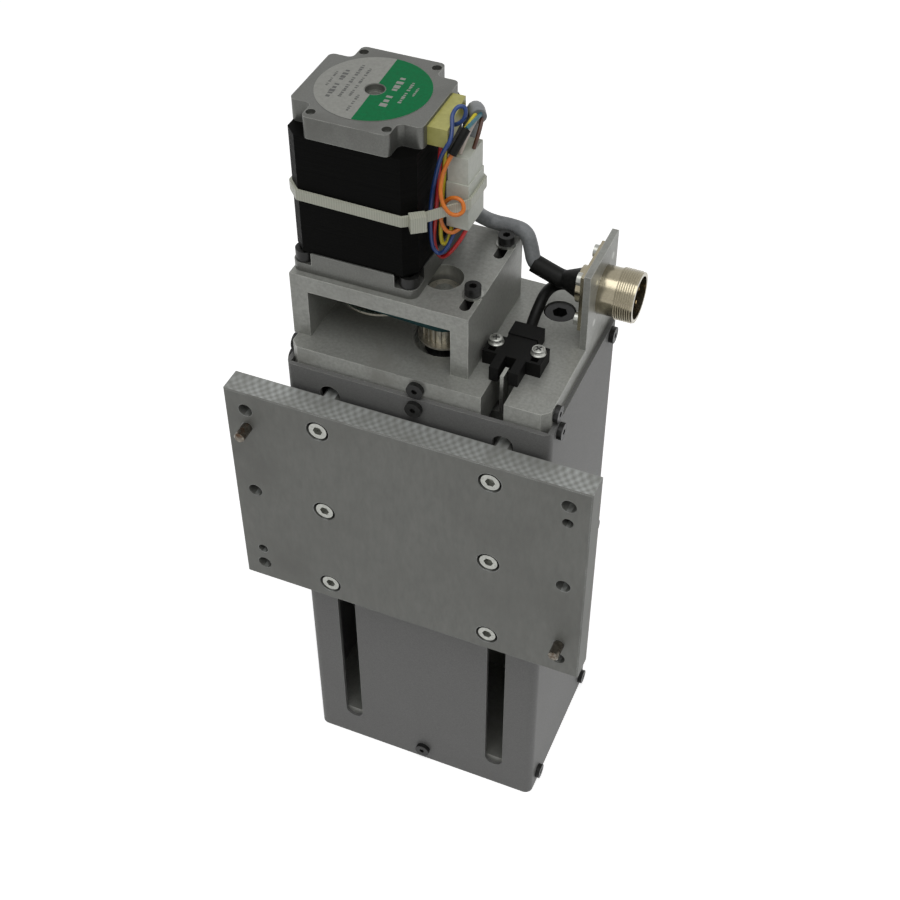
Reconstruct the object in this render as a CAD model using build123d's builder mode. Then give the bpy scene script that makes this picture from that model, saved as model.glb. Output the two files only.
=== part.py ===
from build123d import *
import os
from math import asin, atan2, cos, degrees, hypot, pi, radians, sin, sqrt, tan

os.makedirs("parts", exist_ok=True)

# Vertical linear stage: a carriage on two rails behind a sheet cover, driven by a ball screw
# through a toothed belt from a stepper motor on a bracket. Sizes are in millimetres.
# X is to the right, Y to the back and Z up, from the middle of the bottom plate's underside.

# Frame plates
frame_depth = 81.0
frame_height = 270.0
bottom_thickness = 20.0
top_thickness = 18.0
back_thickness = 25.0
front_chamfer = 3.5            # upright front corners of the top plate

# Sheet cover over the front and both sides
sheet = 2.0
top_band = 9.0                 # top plate left bare above the cover
bend_radius = 4.0              # outside of the two upright bends
slot_side_gap = 0.75           # from an arm to the side of its slot
slot_low_gap = 14.5            # slot left below the arm at its lowest
slot_high_gap = 3.5            # slot left above the arm at its highest

# Front plate and its travel
plate_width = 170.0
plate_height = 120.0
plate_thickness = 12.0
plate_gap = 2.0                # from the cover to the plate
plate_low = 129.5              # lower edge of the plate at rest
travel_down = 100.0
travel_up = 2.0
arm_spacing = 80.0
arm_thickness = 8.0
arm_inset = 1.0                # arms stop short of the plate's edges
arm_chamfer = 1.5
plate_screw_pitch = 50.0
side_hole_spacing = 150.0      # outer columns of holes, side to side
side_hole_pitch = 50.0
side_hole_radius = 3.4         # tapped for M8
dowel_pitch = 80.0
dowel_radius = 2.5
dowel_stand_out = 8.0
dowel_depth = 10.0
dowel_seat_step = 0.25         # pins are slimmer where they sit in the plate
dowel_relief = 0.25            # shallow step round a pin, in the plate and on the pin
plate_edge = 0.5

# Rails and blocks
rail_spacing = 80.0
rail_width = 15.0
rail_height = 12.0
rail_waist = 1.5               # depth of the ball grooves in the rail's sides
rail_end_gap = 2.0
block_width = 34.0
block_length = 42.0
block_height = 20.0            # from the rail's base to the block's face
block_lift = 3.0               # from the rail's base to the block's skirt
block_gap = 0.3                # between rail and block
block_inset = 3.0              # from the carriage's ends to the blocks
block_side_gap = 2.0           # from the blocks to the cover

# Carriage
carriage_side_gap = 3.0        # from the carriage to the cover
carriage_thickness = 18.0
carriage_inset = 2.0           # from the plate's edges, top and bottom
arm_seat = 1.5                 # depth of the groove that locates an arm
boss_width = 36.0
boss_height = 42.0
boss_low = 38.0                # from the carriage's lower edge to the boss
boss_depth = 33.0

# Ball screw
screw_y = -10.0
screw_lead = 5.0
screw_radius = 6.0
screw_gap = 0.05
nut_radius = 12.0
nut_length = 44.0
nut_flange_radius = 19.0
nut_flange_thickness = 8.0
nut_bolt_circle = 15.5
lower_journal_radius = 4.0
upper_journal_radius = 5.0
pulley_seat_radius = 4.0
upper_bearing_radius = 13.0
lower_bearing_radius = 11.0
upper_bearing_width = 8.0
lower_bearing_width = 7.0
bearing_ring = 2.6             # radial thickness of a bearing's inner ring
shield_gap = 0.06
bearing_recess = 5.0           # from the top plate's face down to the upper bearing
bearing_lip = 3.0
housing_wall = 5.0
collar_radius = 8.5
circlip_thickness = 1.2
circlip_radius = 13.6
circlip_width = 2.6
circlip_opening = 8.0
mouth_chamfer = 0.6

# Belt drive
belt_pitch = 3.0
belt_teeth = 50
motor_pulley_teeth = 34
screw_pulley_teeth = 20
belt_width = 9.0
belt_rise = 11.0               # from the top plate to the belt
belt_back = 0.8                # from the pitch line to the belt's back
belt_land = 0.38               # from the pitch line in to the belt's land
tooth_depth = 1.15
tooth_half_width = 0.95
tooth_taper = 0.3
mesh_gap = 0.13
motor_flange_over = 2.6        # flange over the pitch line
screw_flange_over = 1.8
flange_thickness = 1.0
pulley_foot = 1.6              # from the top plate to the long screw pulley
pulley_side_gap = 0.6
hub_length = 4.0
motor_hub_radius = 10.0
screw_hub_radius = 7.0
motor_y = -1.0

# Motor bracket
bracket_right = 20.0
bracket_front = -32.0
bracket_depth = 61.0
bracket_height = 32.0
bracket_wall = 8.0
access_radius = 8.5
bracket_slot_width = 4.5
bracket_slot_length = 14.0
bracket_slot_inset = 4.5       # from the leg's outer face to the slot's middle
right_slot_pitch = 37.5
left_slot_pitch = 19.0         # closer, between the motor's bolts
slot_screw_offset = 4.0        # from a slot's middle back to its screw
left_counterbore = 5.5         # sinks the left screws below the motor
bracket_screw_hold = 10.0
pilot_gap = 0.05

# Motor
motor_side = 56.4
motor_flange_thickness = 4.5
motor_front_height = 10.5
motor_stack_height = 55.8
motor_rear_height = 9.7
motor_bolt_square = 47.14
motor_pilot_radius = 19.05
motor_pilot_height = 1.6
motor_pocket_radius = 6.6
motor_corner = 4.0
notch_side = 9.8
notch_fillet = 2.5
stack_chamfer = 5.0
rear_pit_x = 16.0
rear_pit_y = 24.0
rear_pit_radius = 2.0
rear_pit_depth = 2.0
stack_inset = 0.7
shaft_radius = 3.175
shaft_gap = 0.03
rotor_radius = 14.0
rotor_gap = 0.2
motor_bearing_radius = 9.5
motor_bearing_width = 6.0
rear_hole_radius = 4.0

# Photo sensor and its flag
sensor_x = 34.2
sensor_front = -28.5
sensor_height = 7.0
sensor_half_width = 13.0
prong_half_width = 6.4
prong_length = 9.0
sensor_gap_half = 2.4
ear_depth = 11.5
sensor_back = -5.5
sensor_hole_spacing = 19.0
sensor_hole_y = -12.4
sensor_plug_length = 8.5
plug_half_width = 6.75
flag_slot_width = 10.2
flag_slot_back = -17.0
flag_thickness = 1.6
flag_depth = 6.3
flag_front = -30.1
flag_over_plate = 5.0          # flag above the top plate at rest
flag_low = 214.0
flag_seat_height = 20.0

# Round connector on its plate
connector_y = 24.0
connector_rise = 19.0          # axis above the top plate
connector_plate_thickness = 3.0
connector_plate_front = 4.4
connector_plate_rise = 38.5
shell_radius = 11.1
shell_neck_radius = 10.7
shell_length = 16.0
shell_neck_length = 7.0
shell_wall = 1.3
shell_tail_radius = 8.2
shell_tail_length = 4.0
flange_side = 28.0
shell_flange_thickness = 3.2
flange_hole_spacing = 21.0
pin_radius = 0.8
pin_circle = 5.6
pin_count = 6
pin_length = 6.0
insert_recess = 8.0
connector_fixing_ys = (11.0, 24.0)
connector_fixing_z = 257.0
sink_depth = 1.7
boot_length = 8.0
boot_radius = 4.1

# Motor leads, wire connector and tie
lead_block_width = 8.4
lead_block_back_width = 5.4
lead_block_front = -15.0
lead_block_depth = 25.6
lead_block_height = 8.0
lead_block_top = 1.5           # under the motor's rear face
wire_connector_gap = 7.0       # from the motor's side to the wire connector
wire_connector_width = 9.4
wire_connector_front = -13.0
wire_connector_depth = 16.0
wire_connector_rise = 29.0     # above the bracket
wire_connector_height = 33.0
wire_joint_rise = 21.0         # from the wire connector's foot to its parting line
wire_radius = 0.85
sleeve_radius = 1.75
tie_left_rise = 39.0           # the strap above the bracket, at three places across
tie_head_rise = 38.0
tie_right_rise = 43.4
tie_width = 4.6
tie_thickness = 1.2
tie_gap = 0.05
cable_radius = 3.3
sensor_lead_radius = 2.5

# Fasteners: shank radius, head radius, head height, key across flats
m3_shank = 1.5
m3_head = 2.8
m3_head_height = 2.2
m4_shank = 2.0
m4_head = 3.5
m4_head_height = 4.0
m4_button = 3.8
m4_button_height = 2.2
m4_key = 3.0
m4_washer = 4.5
washer_thickness = 0.8
m5_shank = 2.5
m5_head = 4.25
m5_head_height = 5.0
m5_key = 4.0
m8_shank = 4.0
m8_head = 6.5
m8_head_height = 8.0
m8_key = 6.0
bore_clearance = 0.75          # counterbore over head radius
hole_clearance = 0.25          # through hole over shank radius
cover_screw_length = 10.0
cover_screw_rise = 8.0         # cover screws above the bottom face
cover_screw_under = 5.0        # cover screws under the cover's top edge
hood_screw_under = 5.0         # hood screws under the top plate's face
side_screw_front = 8.5         # from the top plate's front to the side screws
side_screw_back = 5.5          # from the back to the side screws
mount_hole_radius = 3.3        # tapped for M8 in the back and in the base
mount_hole_depth = 16.0
back_hole_spacing = 60.0
back_hole_pitch = 180.0
base_hole_spacing = 50.0
base_hole_depth_spacing = 50.0
frame_bolt_inset = 19.0        # from the sides to the frame bolts
frame_bolt_y = 25.0
frame_bolt_length = 40.0
bolt_seat = m8_head_height + 0.6
rail_screw_pitch = 60.0
rail_screw_hold = 5.0          # kept short of the frame bolts behind
block_screw_x = 12.0
block_screw_z = 13.0
block_screw_hold = 8.0
plate_bore_clearance = 1.1
plate_screw_length = 40.0
head_sink = 0.4                # screw heads below the face of their counterbore

# Places worked out from the sizes above
frame_width = rail_spacing + block_width + 2 * block_side_gap
carriage_width = frame_width - 2 * carriage_side_gap
cover_height = frame_height - top_band
frame_left = -frame_width / 2
frame_right = frame_width / 2
frame_front = -frame_depth / 2
frame_back = frame_depth / 2
top_underside = frame_height - top_thickness
rail_base = frame_back - back_thickness
cover_front = frame_front - sheet
plate_back = cover_front - plate_gap
plate_front = plate_back - plate_thickness
plate_top = plate_low + plate_height
plate_middle = plate_low + plate_height / 2
carriage_back = rail_base - block_height
carriage_front = carriage_back - carriage_thickness
carriage_low = plate_low + carriage_inset
carriage_top = plate_top - carriage_inset
arm_low = plate_low + arm_inset
arm_top = plate_top - arm_inset
boss_bottom = carriage_low + boss_low
boss_top = boss_bottom + boss_height
bearing_top = frame_height - bearing_recess
bearing_bottom = bearing_top - 2 * upper_bearing_width
housing_bottom = bearing_bottom - bearing_lip
bracket_top = frame_height + bracket_height
pulley_low = frame_height + pulley_foot
belt_low = frame_height + belt_rise
motor_pulley_low = belt_low - pulley_side_gap - flange_thickness
belt_high = belt_low + belt_width
pulley_high = belt_high + pulley_side_gap + flange_thickness
hub_top = pulley_high + hub_length
stack_low = bracket_top + motor_front_height
stack_top = stack_low + motor_stack_height
motor_top = stack_top + motor_rear_height
connector_z = frame_height + connector_rise
connector_face = frame_right
motor_radius = motor_pulley_teeth * belt_pitch / (2 * pi)
screw_pitch_radius = screw_pulley_teeth * belt_pitch / (2 * pi)

UP = (Align.CENTER, Align.CENTER, Align.MIN)
DOWN = (Align.CENTER, Align.CENTER, Align.MAX)
facing_front = (90, 0, 0)      # turns a screw's head from +Z to -Y
facing_back = (-90, 0, 0)
facing_right = (0, 90, 0)
facing_left = (0, -90, 0)


def belt_length(distance):
    lean = asin((motor_radius - screw_pitch_radius) / distance)
    straight = 2 * distance * cos(lean)
    return straight + motor_radius * (pi + 2 * lean) + screw_pitch_radius * (pi - 2 * lean)


# The bracket is set so that the belt is just tight at its own length.
pulley_distance = motor_radius + screw_pitch_radius + 10.0
for _ in range(40):
    pulley_distance += (belt_teeth * belt_pitch - belt_length(pulley_distance)) / 2
motor_x = -sqrt(pulley_distance**2 - (motor_y - screw_y) ** 2)
bracket_left = motor_x - motor_side / 2
print("motor axis", round(motor_x, 4), motor_y, "pulley distance", round(pulley_distance, 4))


def save(piece, name):
    piece.part.label = name
    export_step(piece.part, f"parts/{name}.step")


def box(x0, x1, y0, y1, z0, z1, mode=Mode.ADD):
    with Locations(((x0 + x1) / 2, (y0 + y1) / 2, (z0 + z1) / 2)):
        return Box(x1 - x0, y1 - y0, z1 - z0, mode=mode)


def rod(x, y, z0, z1, radius, mode=Mode.ADD):
    with Locations((x, y, z0)):
        return Cylinder(radius, z1 - z0, align=UP, mode=mode)


def socket_screws(places, shank, length, head, head_height, key):
    """Screws with their heads above each place's own XY plane and shanks below it."""
    with BuildPart() as screws:
        with Locations(*places):
            Cylinder(head, head_height, align=UP)
            Cylinder(shank, length, align=DOWN)
        with BuildSketch(*[Plane(place * Pos(0, 0, head_height)) for place in places]):
            RegularPolygon(key / 2, 6, major_radius=False)
        extrude(amount=-head_height * 0.55, mode=Mode.SUBTRACT)
    return screws


def plain_screws(places, shank, length, head, head_height):
    with BuildPart() as screws:
        with Locations(*places):
            Cylinder(head, head_height, align=UP)
            Cylinder(shank, length, align=DOWN)
    return screws


def bend_radii(points):
    """The largest radius that each corner's two runs leave room for."""
    points = [Vector(*point) for point in points]
    radii = []
    for before, here, after in zip(points, points[1:], points[2:]):
        turn = (here - before).get_angle(after - here)
        radii.append(0.45 * min((here - before).length, (after - here).length)
                     / tan(radians(turn / 2)))
    return radii


def tube(points, radius, name, *neighbours):
    """A cord along the points, cut off where it meets its neighbours."""
    with BuildPart() as made:
        with BuildLine() as route:
            FilletPolyline(*points, radius=bend_radii(points))
        with BuildSketch(Plane(origin=route.line @ 0, z_dir=route.line % 0)):
            Circle(radius)
        sweep(path=route.line)
        for neighbour in neighbours:
            add(neighbour.part, mode=Mode.SUBTRACT)
    length = sum(edge.length for edge in route.edges())
    print(name, "radius", radius, "length", round(length, 1),
          "bends", [round(bend, 1) for bend in bend_radii(points)])
    return made


# Screw places -----------------------------------------------------------------------------

frame_bolt_x = frame_right - frame_bolt_inset
frame_bolts = [(side * frame_bolt_x, frame_bolt_y) for side in (-1, 1)]
side_rows = [
    (frame_front + side_screw_front, cover_screw_rise),
    (frame_front + side_screw_front, cover_height - cover_screw_under),
    (frame_back - side_screw_back, cover_screw_rise),
    (frame_back - side_screw_back, cover_height / 2),
    (frame_back - side_screw_back, cover_height - cover_screw_under),
]
front_rows = [cover_screw_rise, cover_height - cover_screw_under]
hood_z = frame_height - hood_screw_under
hood_y = frame_front + side_screw_front
slot_places = []
for x, pitch in ((bracket_left + bracket_slot_inset, left_slot_pitch),
                 (bracket_right - bracket_slot_inset, right_slot_pitch)):
    for side in (-1, 1):
        slot_places.append((x, bracket_front + bracket_depth / 2 + side * pitch / 2))
bracket_screw_places = [(x, y + slot_screw_offset) for x, y in slot_places]
motor_bolts = [(motor_x + sx * motor_bolt_square / 2, motor_y + sy * motor_bolt_square / 2)
               for sx in (-1, 1) for sy in (-1, 1)]
plate_screw_xs = [-arm_spacing / 2, arm_spacing / 2]
plate_screw_zs = [plate_middle + row * plate_screw_pitch for row in (-1, 0, 1)]
rail_low = bottom_thickness + rail_end_gap
rail_high = top_underside - rail_end_gap
rail_xs = [-rail_spacing / 2, rail_spacing / 2]
rail_screw_zs = [(rail_low + rail_high) / 2 + row * rail_screw_pitch
                 for row in (-1.5, -0.5, 0.5, 1.5)]
rail_screw_seat = rail_base - rail_height + m4_head_height + head_sink
flange_holes = [(connector_y + sy * flange_hole_spacing / 2,
                 connector_z + sz * flange_hole_spacing / 2) for sy in (-1, 1) for sz in (-1, 1)]


def side_holes(piece_radius, depth, zs):
    """Screw holes let in from both sides at the side cover screws' places."""
    for y, z in side_rows:
        if zs[0] < z < zs[1]:
            for side, turn in ((1, facing_right), (-1, facing_left)):
                with Locations(Location((side * frame_right, y, z), turn)):
                    Cylinder(piece_radius, depth, align=DOWN, mode=Mode.SUBTRACT)


# Frame ------------------------------------------------------------------------------------

tap_depth = cover_screw_length - sheet

with BuildPart() as bottom_plate:
    box(frame_left, frame_right, frame_front, frame_back, 0, bottom_thickness)
    rod(0, screw_y, bottom_thickness - lower_bearing_width, bottom_thickness,
        lower_bearing_radius, Mode.SUBTRACT)
    rod(0, screw_y, bottom_thickness - lower_bearing_width - 3, bottom_thickness,
        lower_journal_radius + 2, Mode.SUBTRACT)
    for x, y in frame_bolts:
        rod(x, y, 0, bottom_thickness, m8_shank + hole_clearance, Mode.SUBTRACT)
        rod(x, y, 0, bolt_seat, m8_head + bore_clearance, Mode.SUBTRACT)
    with Locations(Location((0, frame_front, cover_screw_rise), facing_front)):
        Cylinder(m4_shank, tap_depth, align=DOWN, mode=Mode.SUBTRACT)
    side_holes(m4_shank, tap_depth, (0, bottom_thickness))
    with GridLocations(base_hole_spacing, base_hole_depth_spacing, 2, 2):
        Cylinder(mount_hole_radius, mount_hole_depth, align=UP, mode=Mode.SUBTRACT)
    chamfer(bottom_plate.edges().filter_by(Axis.Z).group_by(Axis.Y)[0], front_chamfer)
save(bottom_plate, "bottom_plate")

with BuildPart() as back_plate:
    box(frame_left, frame_right, rail_base, frame_back, bottom_thickness, top_underside)
    side_holes(m4_shank, tap_depth, (bottom_thickness, top_underside))
    for x, y in frame_bolts:
        rod(x, y, bottom_thickness, bolt_seat + frame_bolt_length, m8_shank, Mode.SUBTRACT)
        rod(x, y, frame_height - bolt_seat - frame_bolt_length, top_underside, m8_shank,
            Mode.SUBTRACT)
    for x in rail_xs:
        for z in rail_screw_zs:
            with Locations(Location((x, rail_base, z), facing_back)):
                Cylinder(m4_shank, rail_screw_hold, align=UP, mode=Mode.SUBTRACT)
    with BuildSketch(Plane.XZ.offset(-frame_back)):
        with Locations((0, frame_height / 2)):
            with GridLocations(back_hole_spacing, back_hole_pitch, 2, 2):
                Circle(mount_hole_radius)
    extrude(amount=mount_hole_depth, mode=Mode.SUBTRACT)
save(back_plate, "back_plate")

with BuildPart() as top_plate:
    with BuildSketch(Plane.XY.offset(top_underside)):
        Rectangle(frame_width, frame_depth)
    extrude(amount=top_thickness)
    front_edges = top_plate.edges().filter_by(Axis.Z).group_by(Axis.Y)[0]
    chamfer(front_edges, front_chamfer)
    rod(0, screw_y, housing_bottom, top_underside, upper_bearing_radius + housing_wall)
    rod(0, screw_y, bearing_bottom, frame_height, upper_bearing_radius, Mode.SUBTRACT)
    rod(0, screw_y, housing_bottom, bearing_bottom, upper_bearing_radius - 3, Mode.SUBTRACT)
    with BuildSketch(Plane.XY.offset(frame_height)):
        with Locations((sensor_x, flag_slot_back - flag_slot_width / 2)):
            Circle(flag_slot_width / 2)
            Rectangle(flag_slot_width, frame_depth / 2, align=(Align.CENTER, Align.MAX))
    extrude(amount=-top_thickness, mode=Mode.SUBTRACT)
    for x, y in frame_bolts:
        rod(x, y, top_underside, frame_height, m8_shank + hole_clearance, Mode.SUBTRACT)
        rod(x, y, frame_height - bolt_seat, frame_height, m8_head + bore_clearance, Mode.SUBTRACT)
    box(frame_right - connector_plate_thickness, frame_right + 1, connector_plate_front,
        frame_back + 1, top_underside, frame_height + 1, Mode.SUBTRACT)
    rod(0, screw_y, frame_height - mouth_chamfer, frame_height, upper_bearing_radius + mouth_chamfer,
        Mode.SUBTRACT)
    rod(0, screw_y, bearing_top, bearing_top + circlip_thickness, circlip_radius, Mode.SUBTRACT)
    for x, y in bracket_screw_places:
        rod(x, y, frame_height - bracket_screw_hold, frame_height, m4_shank, Mode.SUBTRACT)
    for side in (-1, 1):
        rod(sensor_x + side * sensor_hole_spacing / 2, sensor_hole_y, frame_height - 8,
            frame_height, m3_shank, Mode.SUBTRACT)
    with Locations(Location((0, frame_front, cover_height - cover_screw_under), facing_front),
                   Location((0, frame_front, hood_z), facing_front)):
        Cylinder(m4_shank, tap_depth, align=DOWN, mode=Mode.SUBTRACT)
    with Locations(Location((frame_right, hood_y, hood_z), facing_right),
                   Location((frame_left, hood_y, hood_z), facing_left)):
        Cylinder(m4_shank, tap_depth, align=DOWN, mode=Mode.SUBTRACT)
    side_holes(m4_shank, tap_depth, (top_underside, frame_height))
save(top_plate, "top_plate")

with BuildPart() as front_cover:
    box(frame_left - sheet, frame_right + sheet, cover_front, frame_back, 0, cover_height)
    fillet(front_cover.edges().filter_by(Axis.Z).group_by(Axis.Y)[0], bend_radius)
    box(frame_left, frame_right, frame_front, frame_back + 1, -1, cover_height + 1, Mode.SUBTRACT)
    slot_bottom = arm_low - travel_down - slot_low_gap
    slot_top = arm_top + travel_up + slot_high_gap
    with BuildSketch(Plane.XZ.offset(-cover_front)):
        with Locations(*[(x, (slot_bottom + slot_top) / 2) for x in plate_screw_xs]):
            SlotOverall(slot_top - slot_bottom, arm_thickness + 2 * slot_side_gap, rotation=90)
        with Locations(*[(0, z) for z in front_rows]):
            Circle(m4_shank + hole_clearance)
    extrude(amount=-sheet - 1, mode=Mode.SUBTRACT)
    with Locations(*[Location((0, y, z), facing_right) for y, z in side_rows]):
        Cylinder(m4_shank + hole_clearance, frame_width + 4 * sheet, mode=Mode.SUBTRACT)
save(front_cover, "front_cover")

cover_places = [Location((0, cover_front, z), facing_front) for z in front_rows]
cover_places += [Location((frame_right + sheet, y, z), facing_right) for y, z in side_rows]
cover_places += [Location((frame_left - sheet, y, z), facing_left) for y, z in side_rows]
cover_screws = socket_screws(cover_places, m4_shank, cover_screw_length, m4_button,
                             m4_button_height, m4_key * 0.8)
save(cover_screws, "cover_screws")

hood_places = [Location((0, frame_front, hood_z), facing_front),
               Location((frame_right, hood_y, hood_z), facing_right),
               Location((frame_left, hood_y, hood_z), facing_left)]
hood_screws = socket_screws(hood_places, m4_shank, tap_depth, m4_button, m4_button_height,
                            m4_key * 0.8)
save(hood_screws, "hood_screws")

frame_places = [Location((x, y, frame_height - bolt_seat)) for x, y in frame_bolts]
frame_places += [Location((x, y, bolt_seat), (180, 0, 0)) for x, y in frame_bolts]
frame_screws = socket_screws(frame_places, m8_shank, frame_bolt_length, m8_head, m8_head_height,
                             m8_key)
save(frame_screws, "frame_bolts")


# Rails and blocks -------------------------------------------------------------------------

def rail_section(gap):
    """The rail's section about the rail's own middle, Y running back to its base."""
    half = rail_width / 2
    waist = half - rail_waist
    side = [(half, 0), (half, -3.5), (waist, -5), (waist, -7), (half, -8.5),
            (half, -rail_height + 0.8), (half - 0.8, -rail_height)]
    with BuildSketch() as section:
        Polygon(*side, *[(-x, y) for x, y in reversed(side)], align=None)
        if gap:
            offset(amount=gap, kind=Kind.INTERSECTION)
    return section.sketch


with BuildPart() as rails:
    with BuildSketch(Plane.XY.offset(rail_low)):
        with Locations(*[(x, rail_base) for x in rail_xs]):
            add(rail_section(0))
    extrude(amount=rail_high - rail_low)
    for x in rail_xs:
        for z in rail_screw_zs:
            with Locations(Location((x, rail_screw_seat, z), facing_front)):
                Cylinder(m4_head + 0.25, rail_height, align=UP, mode=Mode.SUBTRACT)
                Cylinder(m4_shank + hole_clearance, rail_height, align=DOWN, mode=Mode.SUBTRACT)
save(rails, "rails")

rail_screws = plain_screws(
    [Location((x, rail_screw_seat, z), facing_front) for x in rail_xs for z in rail_screw_zs],
    m4_shank, rail_base - rail_screw_seat + rail_screw_hold, m4_head, m4_head_height)
save(rail_screws, "rail_screws")

block_lows = [carriage_low + block_inset, carriage_top - block_inset - block_length]
with BuildPart() as guide_blocks:
    for x in rail_xs:
        for z in block_lows:
            with BuildSketch(Plane.XY.offset(z)):
                with Locations((x, rail_base - (block_height + block_lift) / 2)):
                    Rectangle(block_width, block_height - block_lift)
                with Locations((x, rail_base)):
                    add(rail_section(block_gap), mode=Mode.SUBTRACT)
            extrude(amount=block_length)
save(guide_blocks, "guide_blocks")


# Carriage ---------------------------------------------------------------------------------

carriage_screw_y = carriage_front + arm_seat
block_screw_xs = [x + side * block_screw_x for x in rail_xs for side in (-1, 1)]
block_screw_zs = [z + block_length / 2 + side * block_screw_z
                  for z in block_lows for side in (-1, 1)]
block_screw_seat = carriage_front + m4_head_height + head_sink
nut_screw_places = [(nut_bolt_circle * cos(radians(angle)),
                     screw_y + nut_bolt_circle * sin(radians(angle)))
                    for angle in (45, 135, 225, 315)]

with BuildPart() as carriage:
    box(-carriage_width / 2, carriage_width / 2, carriage_front, carriage_back, carriage_low,
        carriage_top)
    with Locations((0, screw_y - 1, boss_bottom)):
        Box(boss_width, boss_depth, boss_height, align=UP)
    rod(0, screw_y, carriage_low - 1, carriage_top + 1, screw_radius + 2, Mode.SUBTRACT)
    rod(0, screw_y, boss_bottom, boss_top, nut_radius + 0.1, Mode.SUBTRACT)
    rod(0, screw_y, boss_top, carriage_top + 1, nut_flange_radius + 1, Mode.SUBTRACT)
    for x, y in nut_screw_places:
        rod(x, y, boss_top - 10, boss_top, m4_shank, Mode.SUBTRACT)
    for x in plate_screw_xs:
        box(x - arm_thickness / 2, x + arm_thickness / 2, carriage_front, carriage_screw_y, arm_low - 1,
            arm_top + 1, Mode.SUBTRACT)
        for z in plate_screw_zs:
            with Locations(Location((x, carriage_screw_y, z), facing_back)):
                Cylinder(m5_shank, carriage_thickness - arm_seat - 4, align=UP, mode=Mode.SUBTRACT)
    for x in block_screw_xs:
        for z in block_screw_zs:
            with Locations(Location((x, block_screw_seat, z), facing_front)):
                Cylinder(m4_head + 0.25, m4_head_height + 1, align=UP, mode=Mode.SUBTRACT)
                Cylinder(m4_shank + hole_clearance, carriage_thickness, align=DOWN,
                         mode=Mode.SUBTRACT)
save(carriage, "carriage")

with BuildPart() as guide_holes:
    add(guide_blocks.part)
    for x in block_screw_xs:
        for z in block_screw_zs:
            with Locations(Location((x, carriage_back, z), facing_back)):
                Cylinder(m4_shank, block_screw_hold, align=UP, mode=Mode.SUBTRACT)
save(guide_holes, "guide_blocks")

block_places = [Location((x, block_screw_seat, z), facing_front)
                for x in block_screw_xs for z in block_screw_zs]
block_screw_length = carriage_back - block_screw_seat + block_screw_hold
nut_flange_top = boss_top + nut_flange_thickness

with BuildPart() as ball_nut:
    rod(0, screw_y, boss_top - nut_length + nut_flange_thickness, boss_top, nut_radius)
    rod(0, screw_y, boss_top, nut_flange_top, nut_flange_radius)
    rod(0, screw_y, boss_bottom, nut_flange_top, screw_radius + screw_gap, Mode.SUBTRACT)
    for x, y in nut_screw_places:
        rod(x, y, boss_top, nut_flange_top, m4_shank + hole_clearance, Mode.SUBTRACT)
save(ball_nut, "ball_nut")

carriage_screws = plain_screws(block_places, m4_shank, block_screw_length, m4_head,
                               m4_head_height)
nut_screws = plain_screws([Location((x, y, nut_flange_top)) for x, y in nut_screw_places],
                          m4_shank, nut_flange_thickness + 8, m4_head, m4_head_height)
save(carriage_screws, "block_screws")
save(nut_screws, "nut_screws")

flag_seat_x = sensor_x + flag_thickness / 2
flag_middle_y = flag_front + flag_depth / 2
flag_screw_zs = [flag_low + 5, flag_low + flag_seat_height - 5]


def arm(x):
    with BuildPart() as made:
        box(x - arm_thickness / 2, x + arm_thickness / 2, plate_back, carriage_screw_y, arm_low,
            arm_top)
        chamfer(made.edges().filter_by(Axis.Y).group_by(Axis.Z)[-1], arm_chamfer)
        if x > 0:
            box(flag_seat_x, x, flag_front, flag_front + flag_depth, flag_low,
                flag_low + flag_seat_height)
            for z in flag_screw_zs:
                with Locations(Location((flag_seat_x, flag_middle_y, z), facing_left)):
                    Cylinder(m3_shank, 5, align=DOWN, mode=Mode.SUBTRACT)
        for z in plate_screw_zs:
            with Locations(Location((x, 0, z), facing_front)):
                Cylinder(m5_shank + hole_clearance, frame_depth, align=UP, mode=Mode.SUBTRACT)
    return made


save(arm(-arm_spacing / 2), "left_arm")
save(arm(arm_spacing / 2), "right_arm")

plate_screw_seat = plate_front + m5_head_height + head_sink
dowel_places = [(-side_hole_spacing / 2, plate_middle + dowel_pitch / 2),
                (side_hole_spacing / 2, plate_middle - dowel_pitch / 2)]
empty_dowel_holes = [(-x, z) for x, z in dowel_places]

with BuildPart() as front_plate:
    box(-plate_width / 2, plate_width / 2, plate_front, plate_back, plate_low, plate_top)
    chamfer(front_plate.faces().sort_by(Axis.Y)[0].edges(), plate_edge)
    for x in plate_screw_xs:
        for z in plate_screw_zs:
            with Locations(Location((x, plate_screw_seat, z), facing_front)):
                Cylinder(m5_head + plate_bore_clearance, m5_head_height + 1, align=UP,
                         mode=Mode.SUBTRACT)
                Cylinder(m5_shank + hole_clearance, plate_thickness, align=DOWN,
                         mode=Mode.SUBTRACT)
    for side in (-1, 1):
        for row in (-1, 0, 1):
            with Locations(Location((side * side_hole_spacing / 2, plate_front,
                                     plate_middle + row * side_hole_pitch), facing_back)):
                Cylinder(side_hole_radius, plate_thickness, align=UP, mode=Mode.SUBTRACT)
    with Locations(*[Location((x, plate_front, z), facing_back) for x, z in dowel_places]):
        Cylinder(dowel_radius - dowel_seat_step, dowel_depth, align=UP, mode=Mode.SUBTRACT)
        Cylinder(dowel_radius + dowel_relief, dowel_relief, align=UP, mode=Mode.SUBTRACT)
    with Locations(*[Location((x, plate_front, z), facing_back) for x, z in empty_dowel_holes]):
        Cylinder(dowel_radius, dowel_depth, align=UP, mode=Mode.SUBTRACT)
save(front_plate, "front_plate")

plate_screws = socket_screws(
    [Location((x, plate_screw_seat, z), facing_front)
     for x in plate_screw_xs for z in plate_screw_zs],
    m5_shank, plate_screw_length, m5_head, m5_head_height, m5_key)
save(plate_screws, "plate_screws")

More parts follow.
